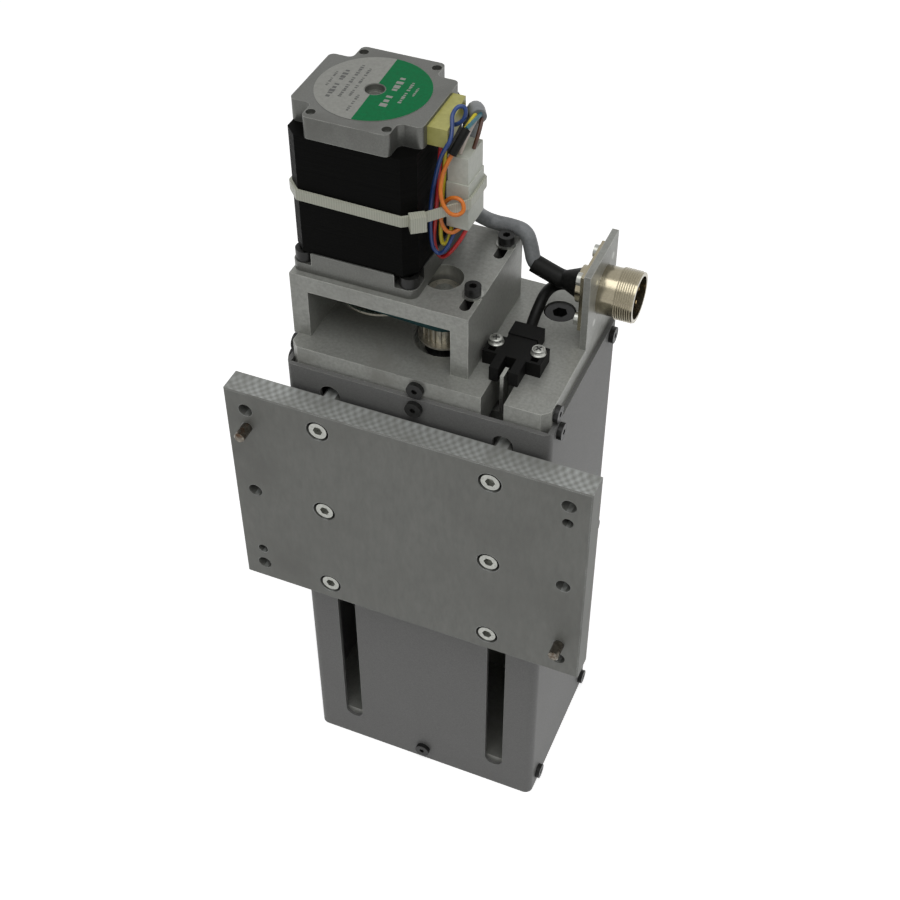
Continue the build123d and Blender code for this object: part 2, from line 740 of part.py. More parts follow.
with BuildPart() as dowel_pins:
    with Locations(*[Location((x, plate_front, z), facing_front) for x, z in dowel_places]):
        Cylinder(dowel_radius - dowel_seat_step, dowel_depth, align=DOWN)
        Cylinder(dowel_radius, dowel_stand_out, align=UP)
        Cylinder(dowel_radius, dowel_relief, align=UP, mode=Mode.SUBTRACT)
        Cylinder(dowel_radius - dowel_seat_step, dowel_relief, align=UP)
    chamfer(dowel_pins.faces().group_by(Axis.Y)[0].edges(), dowel_radius / 5)
save(dowel_pins, "dowel_pins")

with BuildPart() as sensor_flag:
    box(sensor_x - flag_thickness / 2, flag_seat_x, flag_front, flag_front + flag_depth, flag_low,
        frame_height + flag_over_plate)
    for z in flag_screw_zs:
        with Locations(Location((flag_seat_x, flag_middle_y, z), facing_left)):
            Cylinder(m3_shank, flag_thickness, align=UP, mode=Mode.SUBTRACT)
save(sensor_flag, "sensor_flag")

flag_screws = plain_screws(
    [Location((sensor_x - flag_thickness / 2, flag_middle_y, z), facing_left)
     for z in flag_screw_zs],
    m3_shank, flag_thickness + 4, m3_head, m3_head_height)
save(flag_screws, "flag_screws")


# Ball screw, bearings and pulleys ---------------------------------------------------------

lower_bearing_low = bottom_thickness - lower_bearing_width
with BuildPart() as ball_screw:
    rod(0, screw_y, lower_bearing_low - 1, bottom_thickness, lower_journal_radius)
    rod(0, screw_y, bottom_thickness, bearing_bottom, screw_radius)
    rod(0, screw_y, bearing_bottom, pulley_low, upper_journal_radius)
    rod(0, screw_y, pulley_low, hub_top, pulley_seat_radius)
save(ball_screw, "ball_screw")


def bearing(x, y, low, width, outer, inner):
    rod(x, y, low, low + width, outer)
    rod(x, y, low, low + width, inner, Mode.SUBTRACT)


screw_bearings = [(bearing_bottom, upper_bearing_width, upper_bearing_radius,
                   upper_journal_radius),
                  (bearing_bottom + upper_bearing_width, upper_bearing_width,
                   upper_bearing_radius, upper_journal_radius),
                  (lower_bearing_low, lower_bearing_width, lower_bearing_radius,
                   lower_journal_radius)]

with BuildPart() as outer_rings:
    for low, width, outer, journal in screw_bearings:
        bearing(0, screw_y, low, width, outer, journal + bearing_ring + shield_gap)
save(outer_rings, "bearing_outer_rings")

with BuildPart() as inner_rings:
    for low, width, outer, journal in screw_bearings:
        bearing(0, screw_y, low, width, journal + bearing_ring, journal)
save(inner_rings, "bearing_inner_rings")

with BuildPart() as circlip:
    bearing(0, screw_y, bearing_top, circlip_thickness, circlip_radius,
            circlip_radius - circlip_width)
    box(-circlip_opening / 2, circlip_opening / 2, screw_y - circlip_radius, screw_y, bearing_top,
        bearing_top + circlip_thickness, Mode.SUBTRACT)
save(circlip, "circlip")

with BuildPart() as locking_collar:
    bearing(0, screw_y, bearing_top, pulley_low - bearing_top, collar_radius,
            upper_journal_radius)
save(locking_collar, "locking_collar")

belt_lean = asin((motor_radius - screw_pitch_radius) / pulley_distance)
drive_angle = atan2(screw_y - motor_y, -motor_x)
tangent_turn = pi / 2 - belt_lean
motor_arc = motor_radius * (pi + 2 * belt_lean)
screw_arc = screw_pitch_radius * (pi - 2 * belt_lean)
belt_straight = pulley_distance * cos(belt_lean)


def on_circle(x, y, radius, angle):
    return Vector(x + radius * cos(angle), y + radius * sin(angle))


def belt_outline(shift):
    """The belt's closed path, shifted outwards from its pitch line."""
    ends = []
    for x, y, radius in ((motor_x, motor_y, motor_radius), (0, screw_y, screw_pitch_radius)):
        ends.append([on_circle(x, y, radius + shift, drive_angle + side * tangent_turn)
                     for side in (1, -1)])
    with BuildSketch() as outline:
        with BuildLine():
            ThreePointArc(ends[0][0], on_circle(motor_x, motor_y, motor_radius + shift,
                                                drive_angle + pi), ends[0][1])
            Line(ends[0][1], ends[1][1])
            ThreePointArc(ends[1][1], on_circle(0, screw_y, screw_pitch_radius + shift,
                                                drive_angle), ends[1][0])
            Line(ends[1][0], ends[0][0])
        make_face()
    return outline.sketch


def belt_place(run):
    """A point on the pitch line and the outward angle there, from the motor's upper tangent."""
    if run < motor_arc:
        angle = drive_angle + tangent_turn + run / motor_radius
        return on_circle(motor_x, motor_y, motor_radius, angle), angle
    run -= motor_arc
    if run < belt_straight:
        angle = drive_angle - tangent_turn
        start = on_circle(motor_x, motor_y, motor_radius, angle)
        end = on_circle(0, screw_y, screw_pitch_radius, angle)
        return start + (end - start) * (run / belt_straight), angle
    run -= belt_straight
    if run < screw_arc:
        angle = drive_angle - tangent_turn + run / screw_pitch_radius
        return on_circle(0, screw_y, screw_pitch_radius, angle), angle
    run -= screw_arc
    angle = drive_angle + tangent_turn
    start = on_circle(0, screw_y, screw_pitch_radius, angle)
    end = on_circle(motor_x, motor_y, motor_radius, angle)
    return start + (end - start) * (run / belt_straight), angle


belt_run = belt_teeth * belt_pitch
tooth_places = [belt_place((motor_arc / 2 + tooth * belt_pitch) % belt_run)
                for tooth in range(belt_teeth)]
tooth_root = tooth_half_width
tooth_tip = tooth_half_width - tooth_taper
with BuildPart() as drive_belt:
    with BuildSketch(Plane.XY.offset(belt_low)):
        add(belt_outline(belt_back))
        add(belt_outline(-belt_land), mode=Mode.SUBTRACT)
        for point, angle in tooth_places:
            with Locations(Location((point.X, point.Y, 0), degrees(angle))):
                Polygon((-belt_land + 0.2, -tooth_root), (-belt_land + 0.2, tooth_root),
                        (-belt_land - tooth_depth, tooth_tip),
                        (-belt_land - tooth_depth, -tooth_tip), align=None)
    extrude(amount=belt_width)
save(drive_belt, "drive_belt")


def pulley(x, y, low, teeth, phase, over, bore, hub):
    """A flanged pulley whose grooves are in step with the belt's teeth."""
    pitch_radius = teeth * belt_pitch / (2 * pi)
    land = pitch_radius - belt_land - mesh_gap
    with BuildPart() as made:
        rod(x, y, low, pulley_high, land)
        with BuildSketch(Plane.XY.offset(low + flange_thickness)):
            with Locations((x, y)):
                with PolarLocations(land, teeth, start_angle=degrees(phase)):
                    Polygon((1, -tooth_root - mesh_gap), (1, tooth_root + mesh_gap),
                            (0, tooth_root + mesh_gap),
                            (-tooth_depth - mesh_gap, tooth_tip + mesh_gap),
                            (-tooth_depth - mesh_gap, -tooth_tip - mesh_gap),
                            (0, -tooth_root - mesh_gap), align=None)
        extrude(amount=pulley_high - low - 2 * flange_thickness, mode=Mode.SUBTRACT)
        for foot in (low, pulley_high - flange_thickness):
            rod(x, y, foot, foot + flange_thickness, pitch_radius + over)
        rod(x, y, pulley_high, hub_top, hub)
        rod(x, y, low, hub_top, bore, Mode.SUBTRACT)
    return made


motor_pulley = pulley(motor_x, motor_y, motor_pulley_low, motor_pulley_teeth, drive_angle + pi,
                      motor_flange_over, shaft_radius, motor_hub_radius)
save(motor_pulley, "motor_pulley")
screw_pulley = pulley(0, screw_y, pulley_low, screw_pulley_teeth, drive_angle,
                      screw_flange_over, pulley_seat_radius, screw_hub_radius)
save(screw_pulley, "screw_pulley")


# Motor bracket and motor ------------------------------------------------------------------

bracket_middle_y = bracket_front + bracket_depth / 2
with BuildPart() as motor_bracket:
    box(bracket_left, bracket_right, bracket_front, bracket_front + bracket_depth, frame_height,
        bracket_top)
    box(bracket_left + bracket_wall, bracket_right - bracket_wall, bracket_front - 1,
        bracket_front + bracket_depth + 1, frame_height, bracket_top - bracket_wall,
        Mode.SUBTRACT)
    rod(motor_x, motor_y, frame_height, bracket_top, motor_pilot_radius + pilot_gap,
        Mode.SUBTRACT)
    rod(0, screw_y, frame_height, bracket_top, access_radius, Mode.SUBTRACT)
    with BuildSketch(Plane.XY.offset(bracket_top)):
        with Locations(*slot_places):
            SlotOverall(bracket_slot_length, bracket_slot_width, rotation=90)
    extrude(amount=-bracket_height, mode=Mode.SUBTRACT)
    with BuildSketch(Plane.XY.offset(bracket_top)):
        with Locations(*slot_places[:2]):
            SlotOverall(bracket_slot_length + 2 * m4_head - bracket_slot_width + 0.6,
                        2 * m4_head + 0.6, rotation=90)
    extrude(amount=-left_counterbore, mode=Mode.SUBTRACT)
    for x, y in motor_bolts:
        rod(x, y, bracket_top - bracket_wall, bracket_top, m5_shank, Mode.SUBTRACT)
save(motor_bracket, "motor_bracket")

washer_places = bracket_screw_places[2:]
left_seat = bracket_top - left_counterbore
right_seat = bracket_top + washer_thickness
left_screws = [Location((x, y, left_seat)) for x, y in bracket_screw_places[:2]]
right_screws = [Location((x, y, right_seat)) for x, y in washer_places]
hold_depth = frame_height - bracket_screw_hold
with BuildPart() as bracket_screws:
    add(socket_screws(left_screws, m4_shank, left_seat - hold_depth, m4_head, m4_head_height,
                      m4_key).part)
    add(socket_screws(right_screws, m4_shank, right_seat - hold_depth, m4_head, m4_head_height,
                      m4_key).part)
save(bracket_screws, "bracket_screws")

with BuildPart() as bracket_washers:
    for x, y in washer_places:
        bearing(x, y, bracket_top, washer_thickness, m4_washer, m4_shank + hole_clearance)
save(bracket_washers, "bracket_washers")

half_motor = motor_side / 2
motor_bearing_lows = [bracket_top + 2, stack_top + 1]

with BuildPart() as motor_front:
    box(motor_x - half_motor, motor_x + half_motor, motor_y - half_motor, motor_y + half_motor,
        bracket_top, stack_low)
    fillet(motor_front.edges().filter_by(Axis.Z), motor_corner)
    rod(motor_x, motor_y, bracket_top - motor_pilot_height, bracket_top, motor_pilot_radius)
    for x, y in motor_bolts:
        rod(x, y, bracket_top + motor_flange_thickness, stack_low, motor_pocket_radius,
            Mode.SUBTRACT)
        rod(x, y, bracket_top, stack_low, m5_shank + hole_clearance, Mode.SUBTRACT)
    rod(motor_x, motor_y, bracket_top - motor_pilot_height, stack_low, shaft_radius + 1,
        Mode.SUBTRACT)
    rod(motor_x, motor_y, motor_bearing_lows[0], motor_bearing_lows[0] + motor_bearing_width,
        motor_bearing_radius, Mode.SUBTRACT)
    rod(motor_x, motor_y, motor_bearing_lows[0] + motor_bearing_width, stack_low,
        rotor_radius + 1, Mode.SUBTRACT)
save(motor_front, "motor_front")

with BuildPart() as motor_stator:
    half_stack = half_motor - stack_inset
    box(motor_x - half_stack, motor_x + half_stack, motor_y - half_stack, motor_y + half_stack,
        stack_low, stack_top)
    chamfer(motor_stator.edges().filter_by(Axis.Z), stack_chamfer)
    rod(motor_x, motor_y, stack_low, stack_top, rotor_radius + rotor_gap, Mode.SUBTRACT)
save(motor_stator, "motor_stator")

with BuildPart() as motor_rear:
    box(motor_x - half_motor, motor_x + half_motor, motor_y - half_motor, motor_y + half_motor,
        stack_top, motor_top)
    for sx in (-1, 1):
        for sy in (-1, 1):
            box(*sorted((motor_x + sx * (half_motor - notch_side), motor_x + sx * half_motor)),
                *sorted((motor_y + sy * (half_motor - notch_side), motor_y + sy * half_motor)),
                stack_top, motor_top, Mode.SUBTRACT)
    fillet(motor_rear.edges().filter_by(Axis.Z), notch_fillet)
    for sx in (-1, 1):
        for sy in (-1, 1):
            rod(motor_x + sx * rear_pit_x, motor_y + sy * rear_pit_y, motor_top - rear_pit_depth,
                motor_top, rear_pit_radius, Mode.SUBTRACT)
    rod(motor_x, motor_y, motor_bearing_lows[1], motor_top, rear_hole_radius, Mode.SUBTRACT)
    rod(motor_x, motor_y, stack_top, motor_bearing_lows[1], rotor_radius + 1, Mode.SUBTRACT)
    rod(motor_x, motor_y, motor_bearing_lows[1], motor_bearing_lows[1] + motor_bearing_width,
        motor_bearing_radius, Mode.SUBTRACT)
save(motor_rear, "motor_rear")

motor_screws = socket_screws(
    [Location((x, y, bracket_top + motor_flange_thickness)) for x, y in motor_bolts],
    m5_shank, motor_flange_thickness + bracket_wall - 1, m5_head, m5_head_height, m5_key)
save(motor_screws, "motor_screws")

with BuildPart() as motor_bearings:
    for low in motor_bearing_lows:
        bearing(motor_x, motor_y, low, motor_bearing_width, motor_bearing_radius,
                shaft_radius + shaft_gap)
save(motor_bearings, "motor_bearings")

with BuildPart() as motor_rotor:
    rod(motor_x, motor_y, motor_pulley_low, motor_top - 3, shaft_radius)
    rod(motor_x, motor_y, stack_low + 1, stack_top - 1, rotor_radius)
save(motor_rotor, "motor_rotor")


# Photo sensor -----------------------------------------------------------------------------

sensor_top = frame_height + sensor_height
ear_front = sensor_front + prong_length
ear_back = ear_front + ear_depth
sensor_hole_xs = [sensor_x - sensor_hole_spacing / 2, sensor_x + sensor_hole_spacing / 2]
with BuildPart() as photo_sensor:
    box(sensor_x - prong_half_width, sensor_x + prong_half_width, sensor_front, sensor_back,
        frame_height, sensor_top)
    box(sensor_x - sensor_half_width, sensor_x + sensor_half_width, ear_front, ear_back,
        frame_height, sensor_top)
    box(sensor_x - sensor_gap_half, sensor_x + sensor_gap_half, sensor_front - 1, ear_front,
        frame_height, sensor_top, Mode.SUBTRACT)
    for x in sensor_hole_xs:
        rod(x, sensor_hole_y, frame_height, sensor_top, m3_shank + hole_clearance, Mode.SUBTRACT)
        box(x - 1.6, x + 1.6, ear_front + 1.2, sensor_hole_y - 3.4, sensor_top - 2.5, sensor_top,
            Mode.SUBTRACT)
save(photo_sensor, "photo_sensor")

sensor_screws = plain_screws([Location((x, sensor_hole_y, sensor_top)) for x in sensor_hole_xs],
                             m3_shank, sensor_height + 7, m3_head, m3_head_height)
save(sensor_screws, "sensor_screws")

with BuildPart() as sensor_plug:
    box(sensor_x - plug_half_width, sensor_x + plug_half_width, sensor_back,
        sensor_back + sensor_plug_length, frame_height + 0.5, sensor_top + 0.5)
save(sensor_plug, "sensor_plug")


# Round connector --------------------------------------------------------------------------

plate_inner = frame_right - connector_plate_thickness
plate_fixings = [(y, connector_fixing_z) for y in connector_fixing_ys]
clamp_screw = (frame_back - side_screw_back, cover_height - cover_screw_under)


def cross_rod(x0, x1, y, z, radius, mode=Mode.ADD):
    with Locations(Location((x0, y, z), facing_right)):
        return Cylinder(radius, x1 - x0, align=UP, mode=mode)


with BuildPart() as connector_plate:
    box(plate_inner, frame_right, connector_plate_front, frame_back, top_underside,
        frame_height + connector_plate_rise)
    cross_rod(plate_inner, frame_right, connector_y, connector_z, shell_neck_radius + 0.1,
              Mode.SUBTRACT)
    for y, z in flange_holes:
        cross_rod(plate_inner, frame_right, y, z, m3_shank, Mode.SUBTRACT)
    for y, z in plate_fixings:
        cross_rod(plate_inner, frame_right, y, z, m3_shank + hole_clearance, Mode.SUBTRACT)
        cross_rod(frame_right - sink_depth, frame_right, y, z, m3_head, Mode.SUBTRACT)
    cross_rod(plate_inner, frame_right, *clamp_screw, m4_shank + hole_clearance, Mode.SUBTRACT)
save(connector_plate, "connector_plate")

with BuildPart() as connector_shell:
    flange_back = plate_inner - shell_flange_thickness
    box(flange_back, plate_inner, connector_y - flange_side / 2, connector_y + flange_side / 2,
        connector_z - flange_side / 2, connector_z + flange_side / 2)
    cross_rod(flange_back - shell_tail_length, flange_back, connector_y, connector_z,
              shell_tail_radius)
    cross_rod(plate_inner, connector_face + shell_neck_length, connector_y, connector_z,
              shell_neck_radius)
    cross_rod(connector_face + shell_neck_length, connector_face + shell_length, connector_y,
              connector_z, shell_radius)
    cross_rod(plate_inner, connector_face + shell_length, connector_y, connector_z,
              shell_neck_radius - shell_wall, Mode.SUBTRACT)
    for y, z in flange_holes:
        cross_rod(flange_back, plate_inner, y, z, m3_shank + hole_clearance, Mode.SUBTRACT)
save(connector_shell, "connector_shell")

insert_face = connector_face + shell_length - insert_recess
with BuildPart() as connector_insert:
    cross_rod(plate_inner, insert_face, connector_y, connector_z, shell_neck_radius - shell_wall)
save(connector_insert, "connector_insert")

with BuildPart() as connector_pins:
    for pin in range(pin_count):
        angle = 2 * pi * pin / pin_count
        cross_rod(insert_face, insert_face + pin_length, connector_y + pin_circle * cos(angle),
                  connector_z + pin_circle * sin(angle), pin_radius)
save(connector_pins, "connector_pins")

flange_screws = plain_screws([Location((flange_back, y, z), facing_left) for y, z in flange_holes],
                             m3_shank, shell_flange_thickness + connector_plate_thickness,
                             m3_head, m3_head_height)
with BuildPart() as connector_screws:
    add(flange_screws.part)
    for y, z in plate_fixings:
        cross_rod(frame_right - sink_depth, frame_right, y, z, m3_head)
        cross_rod(plate_inner - 6, frame_right, y, z, m3_shank)
save(connector_screws, "connector_screws")

with BuildPart() as drilled_top:
    add(top_plate.part)
    for y, z in plate_fixings:
        cross_rod(plate_inner - 6, frame_right, y, z, m3_shank, Mode.SUBTRACT)
save(drilled_top, "top_plate")


# Cables, leads and tie --------------------------------------------------------------------

lead_block_x = motor_x + half_motor
lead_block_back = lead_block_front + lead_block_depth
block_low = motor_top - lead_block_top - lead_block_height
wire_connector_x = lead_block_x + wire_connector_gap
connector_right = wire_connector_x + wire_connector_width
wire_connector_back = wire_connector_front + wire_connector_depth
wire_connector_low = bracket_top + wire_connector_rise
wire_connector_top = wire_connector_low + wire_connector_height
wire_joint_z = wire_connector_low + wire_joint_rise


def beside_motor(*points):
    """Places given from the motor's right side and the bracket's top."""
    return [(lead_block_x + x, y, bracket_top + z) for x, y, z in points]


with BuildPart() as lead_block:
    with BuildSketch(Plane.XY.offset(block_low)):
        Polygon((lead_block_x, lead_block_front),
                (lead_block_x + lead_block_width, lead_block_front),
                (lead_block_x + lead_block_back_width, lead_block_back),
                (lead_block_x, lead_block_back), align=None)
    extrude(amount=lead_block_height)
save(lead_block, "lead_block")

with BuildPart() as connector_lower:
    box(wire_connector_x, connector_right, wire_connector_front, wire_connector_back,
        wire_connector_low, wire_joint_z)
save(connector_lower, "wire_connector_lower")

with BuildPart() as connector_upper:
    box(wire_connector_x + 0.4, connector_right - 0.4, wire_connector_front + 0.4,
        wire_connector_back - 0.4, wire_joint_z, wire_connector_top)
save(connector_upper, "wire_connector_upper")

lead_routes = {
    "lead_red": [(4.6, -12.6, 67), (4.2, -13.2, 56), (3.3, -13.4, 43), (2.4, -13.5, 31),
                 (1.2, -13.1, 20.4), (3, -13.1, 13.4), (5.8, -13.2, 12.6), (10, -13.4, 18.2),
                 (13.8, -12.6, 25), (15.1, -10.5, 29)],
    "lead_yellow": [(6.2, -12.3, 67), (6.1, -12.2, 55), (4.9, -12, 42), (4.2, -12, 30),
                    (4.1, -12.5, 23.3), (4.9, -12.7, 19.2), (6.9, -12.6, 19.6),
                    (8.1, -12, 24), (8.4, -10.5, 29)],
    "lead_blue": [(7, -6.5, 71.8), (9.8, -6.2, 72.6), (12, -5.3, 76.2), (11.3, -4.2, 79.6),
                  (8.6, -5.5, 79.9), (7.3, -8.1, 77.2), (8.6, -10.6, 74.9),
                  (9.8, -14.8, 70.8), (8.4, -16.6, 68), (5.9, -16, 62.6), (3.6, -15.3, 53.5),
                  (1.7, -15, 44.5), (0.9, -15, 35.6), (0.8, -15, 26.7), (1.4, -15, 17.8),
                  (4.8, -15, 14.9), (9, -15, 20.8), (10.7, -10.5, 29)],
}
for name, points in lead_routes.items():
    lead = tube(beside_motor(*points), wire_radius, name, lead_block, connector_lower)
    save(lead, name)

flange_tail = flange_back - shell_tail_length
jacket_end = (13.8, 3.2, 71.4)
cable_points = beside_motor(jacket_end, (12, 6.4, 71.6), (8.5, 12.7, 68.6),
                            (6.4, 15.2, 63.5), (6.7, 9.2, 53), (6.5, 8.2, 38), (6.9, 12, 25),
                            (6, 20.5, 12.8), (8.4, 27.5, 5.4), (13, 28.6, 4),
                            (18.9, 28.8, 4.2))
cable_points += [(22.2, 27.2, bracket_top + 4.6), (25, 26.2, bracket_top - 2),
                 (flange_tail - 22, 25, connector_z + 3.8),
                 (flange_tail - 16.6, 25, connector_z + 1.7),
                 (flange_tail - 9, 24.9, connector_z - 1),
                 (flange_tail - 4, 24.6, connector_z - 0.4),
                 (flange_tail, 24.2, connector_z + 0.9)]
motor_cable = tube(cable_points, cable_radius, "motor_cable", connector_shell)
save(motor_cable, "motor_cable")

sleeve_route = beside_motor((14, -9.6, 73.5), (12.6, -13.2, 69.8), (10.6, -15.6, 65))
lead_sleeve = tube(sleeve_route, sleeve_radius, "lead_sleeve", motor_cable)
orange_route = beside_motor((8, -17, 59.3), (6.6, -18, 51.6), (7.8, -20.2, 45.6),
                            (11.2, -20.6, 40.9), (14.4, -18.9, 39.7), (16.6, -17.4, 41.9),
                            (14.8, -15.8, 45.4), (10, -15.6, 45.4), (5.8, -15.3, 39.5),
                            (5, -15, 32.5), (7.3, -15, 27.6), (11, -14, 26.9),
                            (12.9, -10.5, 29))
lead_orange = tube([sleeve_route[-1], *orange_route], wire_radius, "lead_orange", lead_sleeve,
                   connector_lower)
save(lead_orange, "lead_orange")
save(lead_sleeve, "lead_sleeve")

wire_routes = {
    "wire_yellow": [(12.7, 2.8, 72.4), (11.2, -5.6, 70.6), (8.9, -11.2, 62)],
    "wire_white": [(13.7, 3.1, 71.8), (13, -4.8, 70.4), (11.5, -10, 62)],
    "wire_brown": [(15, 3.6, 70.6), (16.2, -1.2, 68.6), (15, -4.6, 62)],
    "wire_teal": [(14.6, 3.4, 72.6), (14.9, -3.4, 74), (14, -9.6, 73.5)],
}
with BuildPart() as cable_wires:
    for name, points in wire_routes.items():
        add(tube(beside_motor(*points), wire_radius, name, motor_cable, connector_upper,
                 lead_sleeve).part)
save(cable_wires, "cable_wires")

plug_back = sensor_back + sensor_plug_length
sensor_points = [(sensor_x, plug_back, frame_height + 4.2),
                 (sensor_x - 0.9, 9, frame_height + 5.4),
                 (sensor_x - 0.4, 15, frame_height + 9.2),
                 (sensor_x - 0.2, 21, frame_height + 11.2),
                 (sensor_x + 1.2, 26.6, frame_height + 11.4),
                 (flange_tail - 9, 28.6, frame_height + 13),
                 (flange_tail, 27.4, frame_height + 14.4)]
sensor_lead = tube(sensor_points, sensor_lead_radius, "sensor_lead", sensor_plug,
                   connector_shell)
save(sensor_lead, "sensor_lead")

boot_points = cable_points[-5:]
with BuildPart() as cable_boot:
    add(tube(boot_points, boot_radius, "cable_boot").part)
    with Locations(Location((flange_tail - boot_length, connector_y, connector_z),
                            facing_right)):
        Cone(boot_radius - 0.4, shell_tail_radius - 1.2, boot_length, align=UP)
    add(motor_cable.part, mode=Mode.SUBTRACT)
    add(sensor_lead.part, mode=Mode.SUBTRACT)
    add(connector_shell.part, mode=Mode.SUBTRACT)
save(cable_boot, "cable_boot")

stack_right = motor_x + half_stack
stack_left = motor_x - half_stack
stack_front = motor_y - half_stack
stack_back = motor_y + half_stack
tie_outline = [(stack_left, stack_front + stack_chamfer),
               (stack_left + stack_chamfer, stack_front),
               (stack_right - stack_chamfer, stack_front),
               (connector_right, wire_connector_front),
               (connector_right, wire_connector_back),
               (stack_right, stack_back - stack_chamfer),
               (stack_right - stack_chamfer, stack_back),
               (stack_left + stack_chamfer, stack_back),
               (stack_left, stack_back - stack_chamfer)]
head_x = stack_right
tie_places = [(stack_left - 5, bracket_top + tie_left_rise),
              (head_x, bracket_top + tie_head_rise),
              (connector_right + 5, bracket_top + tie_right_rise)]
tie_low = [(x, z - tie_width / 2) for x, z in tie_places]
tie_high = [(x, z + tie_width / 2) for x, z in reversed(tie_places)]
tie_slope = atan2(wire_connector_front - stack_front, connector_right - head_x + stack_chamfer)
head_y = stack_front + stack_chamfer * tan(tie_slope)
with BuildPart() as cable_tie:
    with BuildSketch(Plane.XY.offset(bracket_top)):
        Polygon(*tie_outline, align=None)
        offset(amount=tie_gap + tie_thickness)
    extrude(amount=tie_right_rise + 10)
    with BuildSketch(Plane.XY.offset(bracket_top)):
        Polygon(*tie_outline, align=None)
        offset(amount=tie_gap)
    extrude(amount=tie_right_rise + 10, mode=Mode.SUBTRACT)
    with BuildSketch(Plane.XZ):
        Polygon(*tie_low, *tie_high, align=None)
    extrude(amount=frame_depth, both=True, mode=Mode.INTERSECT)
    with Locations(Location((head_x, head_y, bracket_top + tie_head_rise),
                            (0, 0, degrees(tie_slope)))):
        Box(6.6, 4.6, 7, align=(Align.CENTER, Align.MAX, Align.CENTER))
save(cable_tie, "cable_tie")
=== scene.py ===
import math

import bpy
import bmesh
from mathutils import Matrix, Vector


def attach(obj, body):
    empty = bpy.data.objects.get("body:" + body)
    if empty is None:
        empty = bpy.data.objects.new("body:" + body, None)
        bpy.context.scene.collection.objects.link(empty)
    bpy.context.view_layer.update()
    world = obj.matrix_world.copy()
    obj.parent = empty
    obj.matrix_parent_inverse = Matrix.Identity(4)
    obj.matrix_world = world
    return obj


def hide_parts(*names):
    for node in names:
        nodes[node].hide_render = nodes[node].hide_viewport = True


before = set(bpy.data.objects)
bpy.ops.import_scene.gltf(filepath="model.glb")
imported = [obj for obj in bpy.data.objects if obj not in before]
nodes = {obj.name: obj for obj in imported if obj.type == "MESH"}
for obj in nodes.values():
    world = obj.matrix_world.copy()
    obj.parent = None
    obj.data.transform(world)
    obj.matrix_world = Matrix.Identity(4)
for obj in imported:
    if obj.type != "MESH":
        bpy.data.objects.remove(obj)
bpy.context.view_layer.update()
print("frame loaded:", len(nodes), "nodes")

# the camera, in the stage's own frame
camera = {
    "place": (0.1996, -0.4736, 0.6969),
    "target": (-0.010007, 0.019077, 0.17152),
    "roll": -0.243,          # degrees, about the line of sight
    "lens": 61.46,
    "sensor": 36,
    "nearest": 0.01,         # metres, what the camera sees from and to
    "farthest": 20,
}


def placeCamera(spec):
    data = bpy.data.cameras.new("stageCamera")
    data.lens = spec["lens"]
    data.sensor_width = spec["sensor"]
    data.clip_start = spec["nearest"]
    data.clip_end = spec["farthest"]
    obj = bpy.data.objects.new("stageCamera", data)
    bpy.context.scene.collection.objects.link(obj)
    back = (Vector(spec["place"]) - Vector(spec["target"])).normalized()
    right = Vector((0, 0, 1)).cross(back).normalized()
    up = back.cross(right)
    turn = math.radians(spec["roll"])
    sideways = right * math.cos(turn) + up * math.sin(turn)
    upward = up * math.cos(turn) - right * math.sin(turn)
    turned = Matrix((sideways, upward, back)).transposed().to_4x4()
    obj.matrix_world = Matrix.Translation(spec["place"]) @ turned
    bpy.context.scene.camera = obj


placeCamera(camera)
bpy.context.scene.view_settings.view_transform = "Standard"

studio = {
    "worldGlow": 0.20,       # what the surroundings give matt surfaces
    "lamps": [
        # name, place, size, watts
        ("topSoftbox", (0.15, -0.42, 1.5), 1.0, 9.0),
        ("leftFill", (-1.2, -0.6, 0.8), 0.9, 0.5),
        ("rightFill", (1.3, 0.1, 0.6), 0.8, 1.0),
    ],
    "aim": (0, 0, 0.18),     # where every lamp points
    "floorGlow": 0.74,
    "floorColour": (0.86, 0.86, 0.86, 1),
    "floorSize": 8.0,
    "floorDrop": 0.0005,     # so that it doesn't touch the stage's underside
}


# camera, mirror and glass rays see the pale surroundings as they are
def seenDirectly(tree):
    path = tree.nodes.new("ShaderNodeLightPath")
    first = tree.nodes.new("ShaderNodeMath")
    first.operation = "MAXIMUM"
    second = tree.nodes.new("ShaderNodeMath")
    second.operation = "MAXIMUM"
    tree.links.new(path.outputs["Is Camera Ray"], first.inputs[0])
    tree.links.new(path.outputs["Is Glossy Ray"], first.inputs[1])
    tree.links.new(first.outputs[0], second.inputs[0])
    tree.links.new(path.outputs["Is Transmission Ray"], second.inputs[1])
    return second.outputs[0]


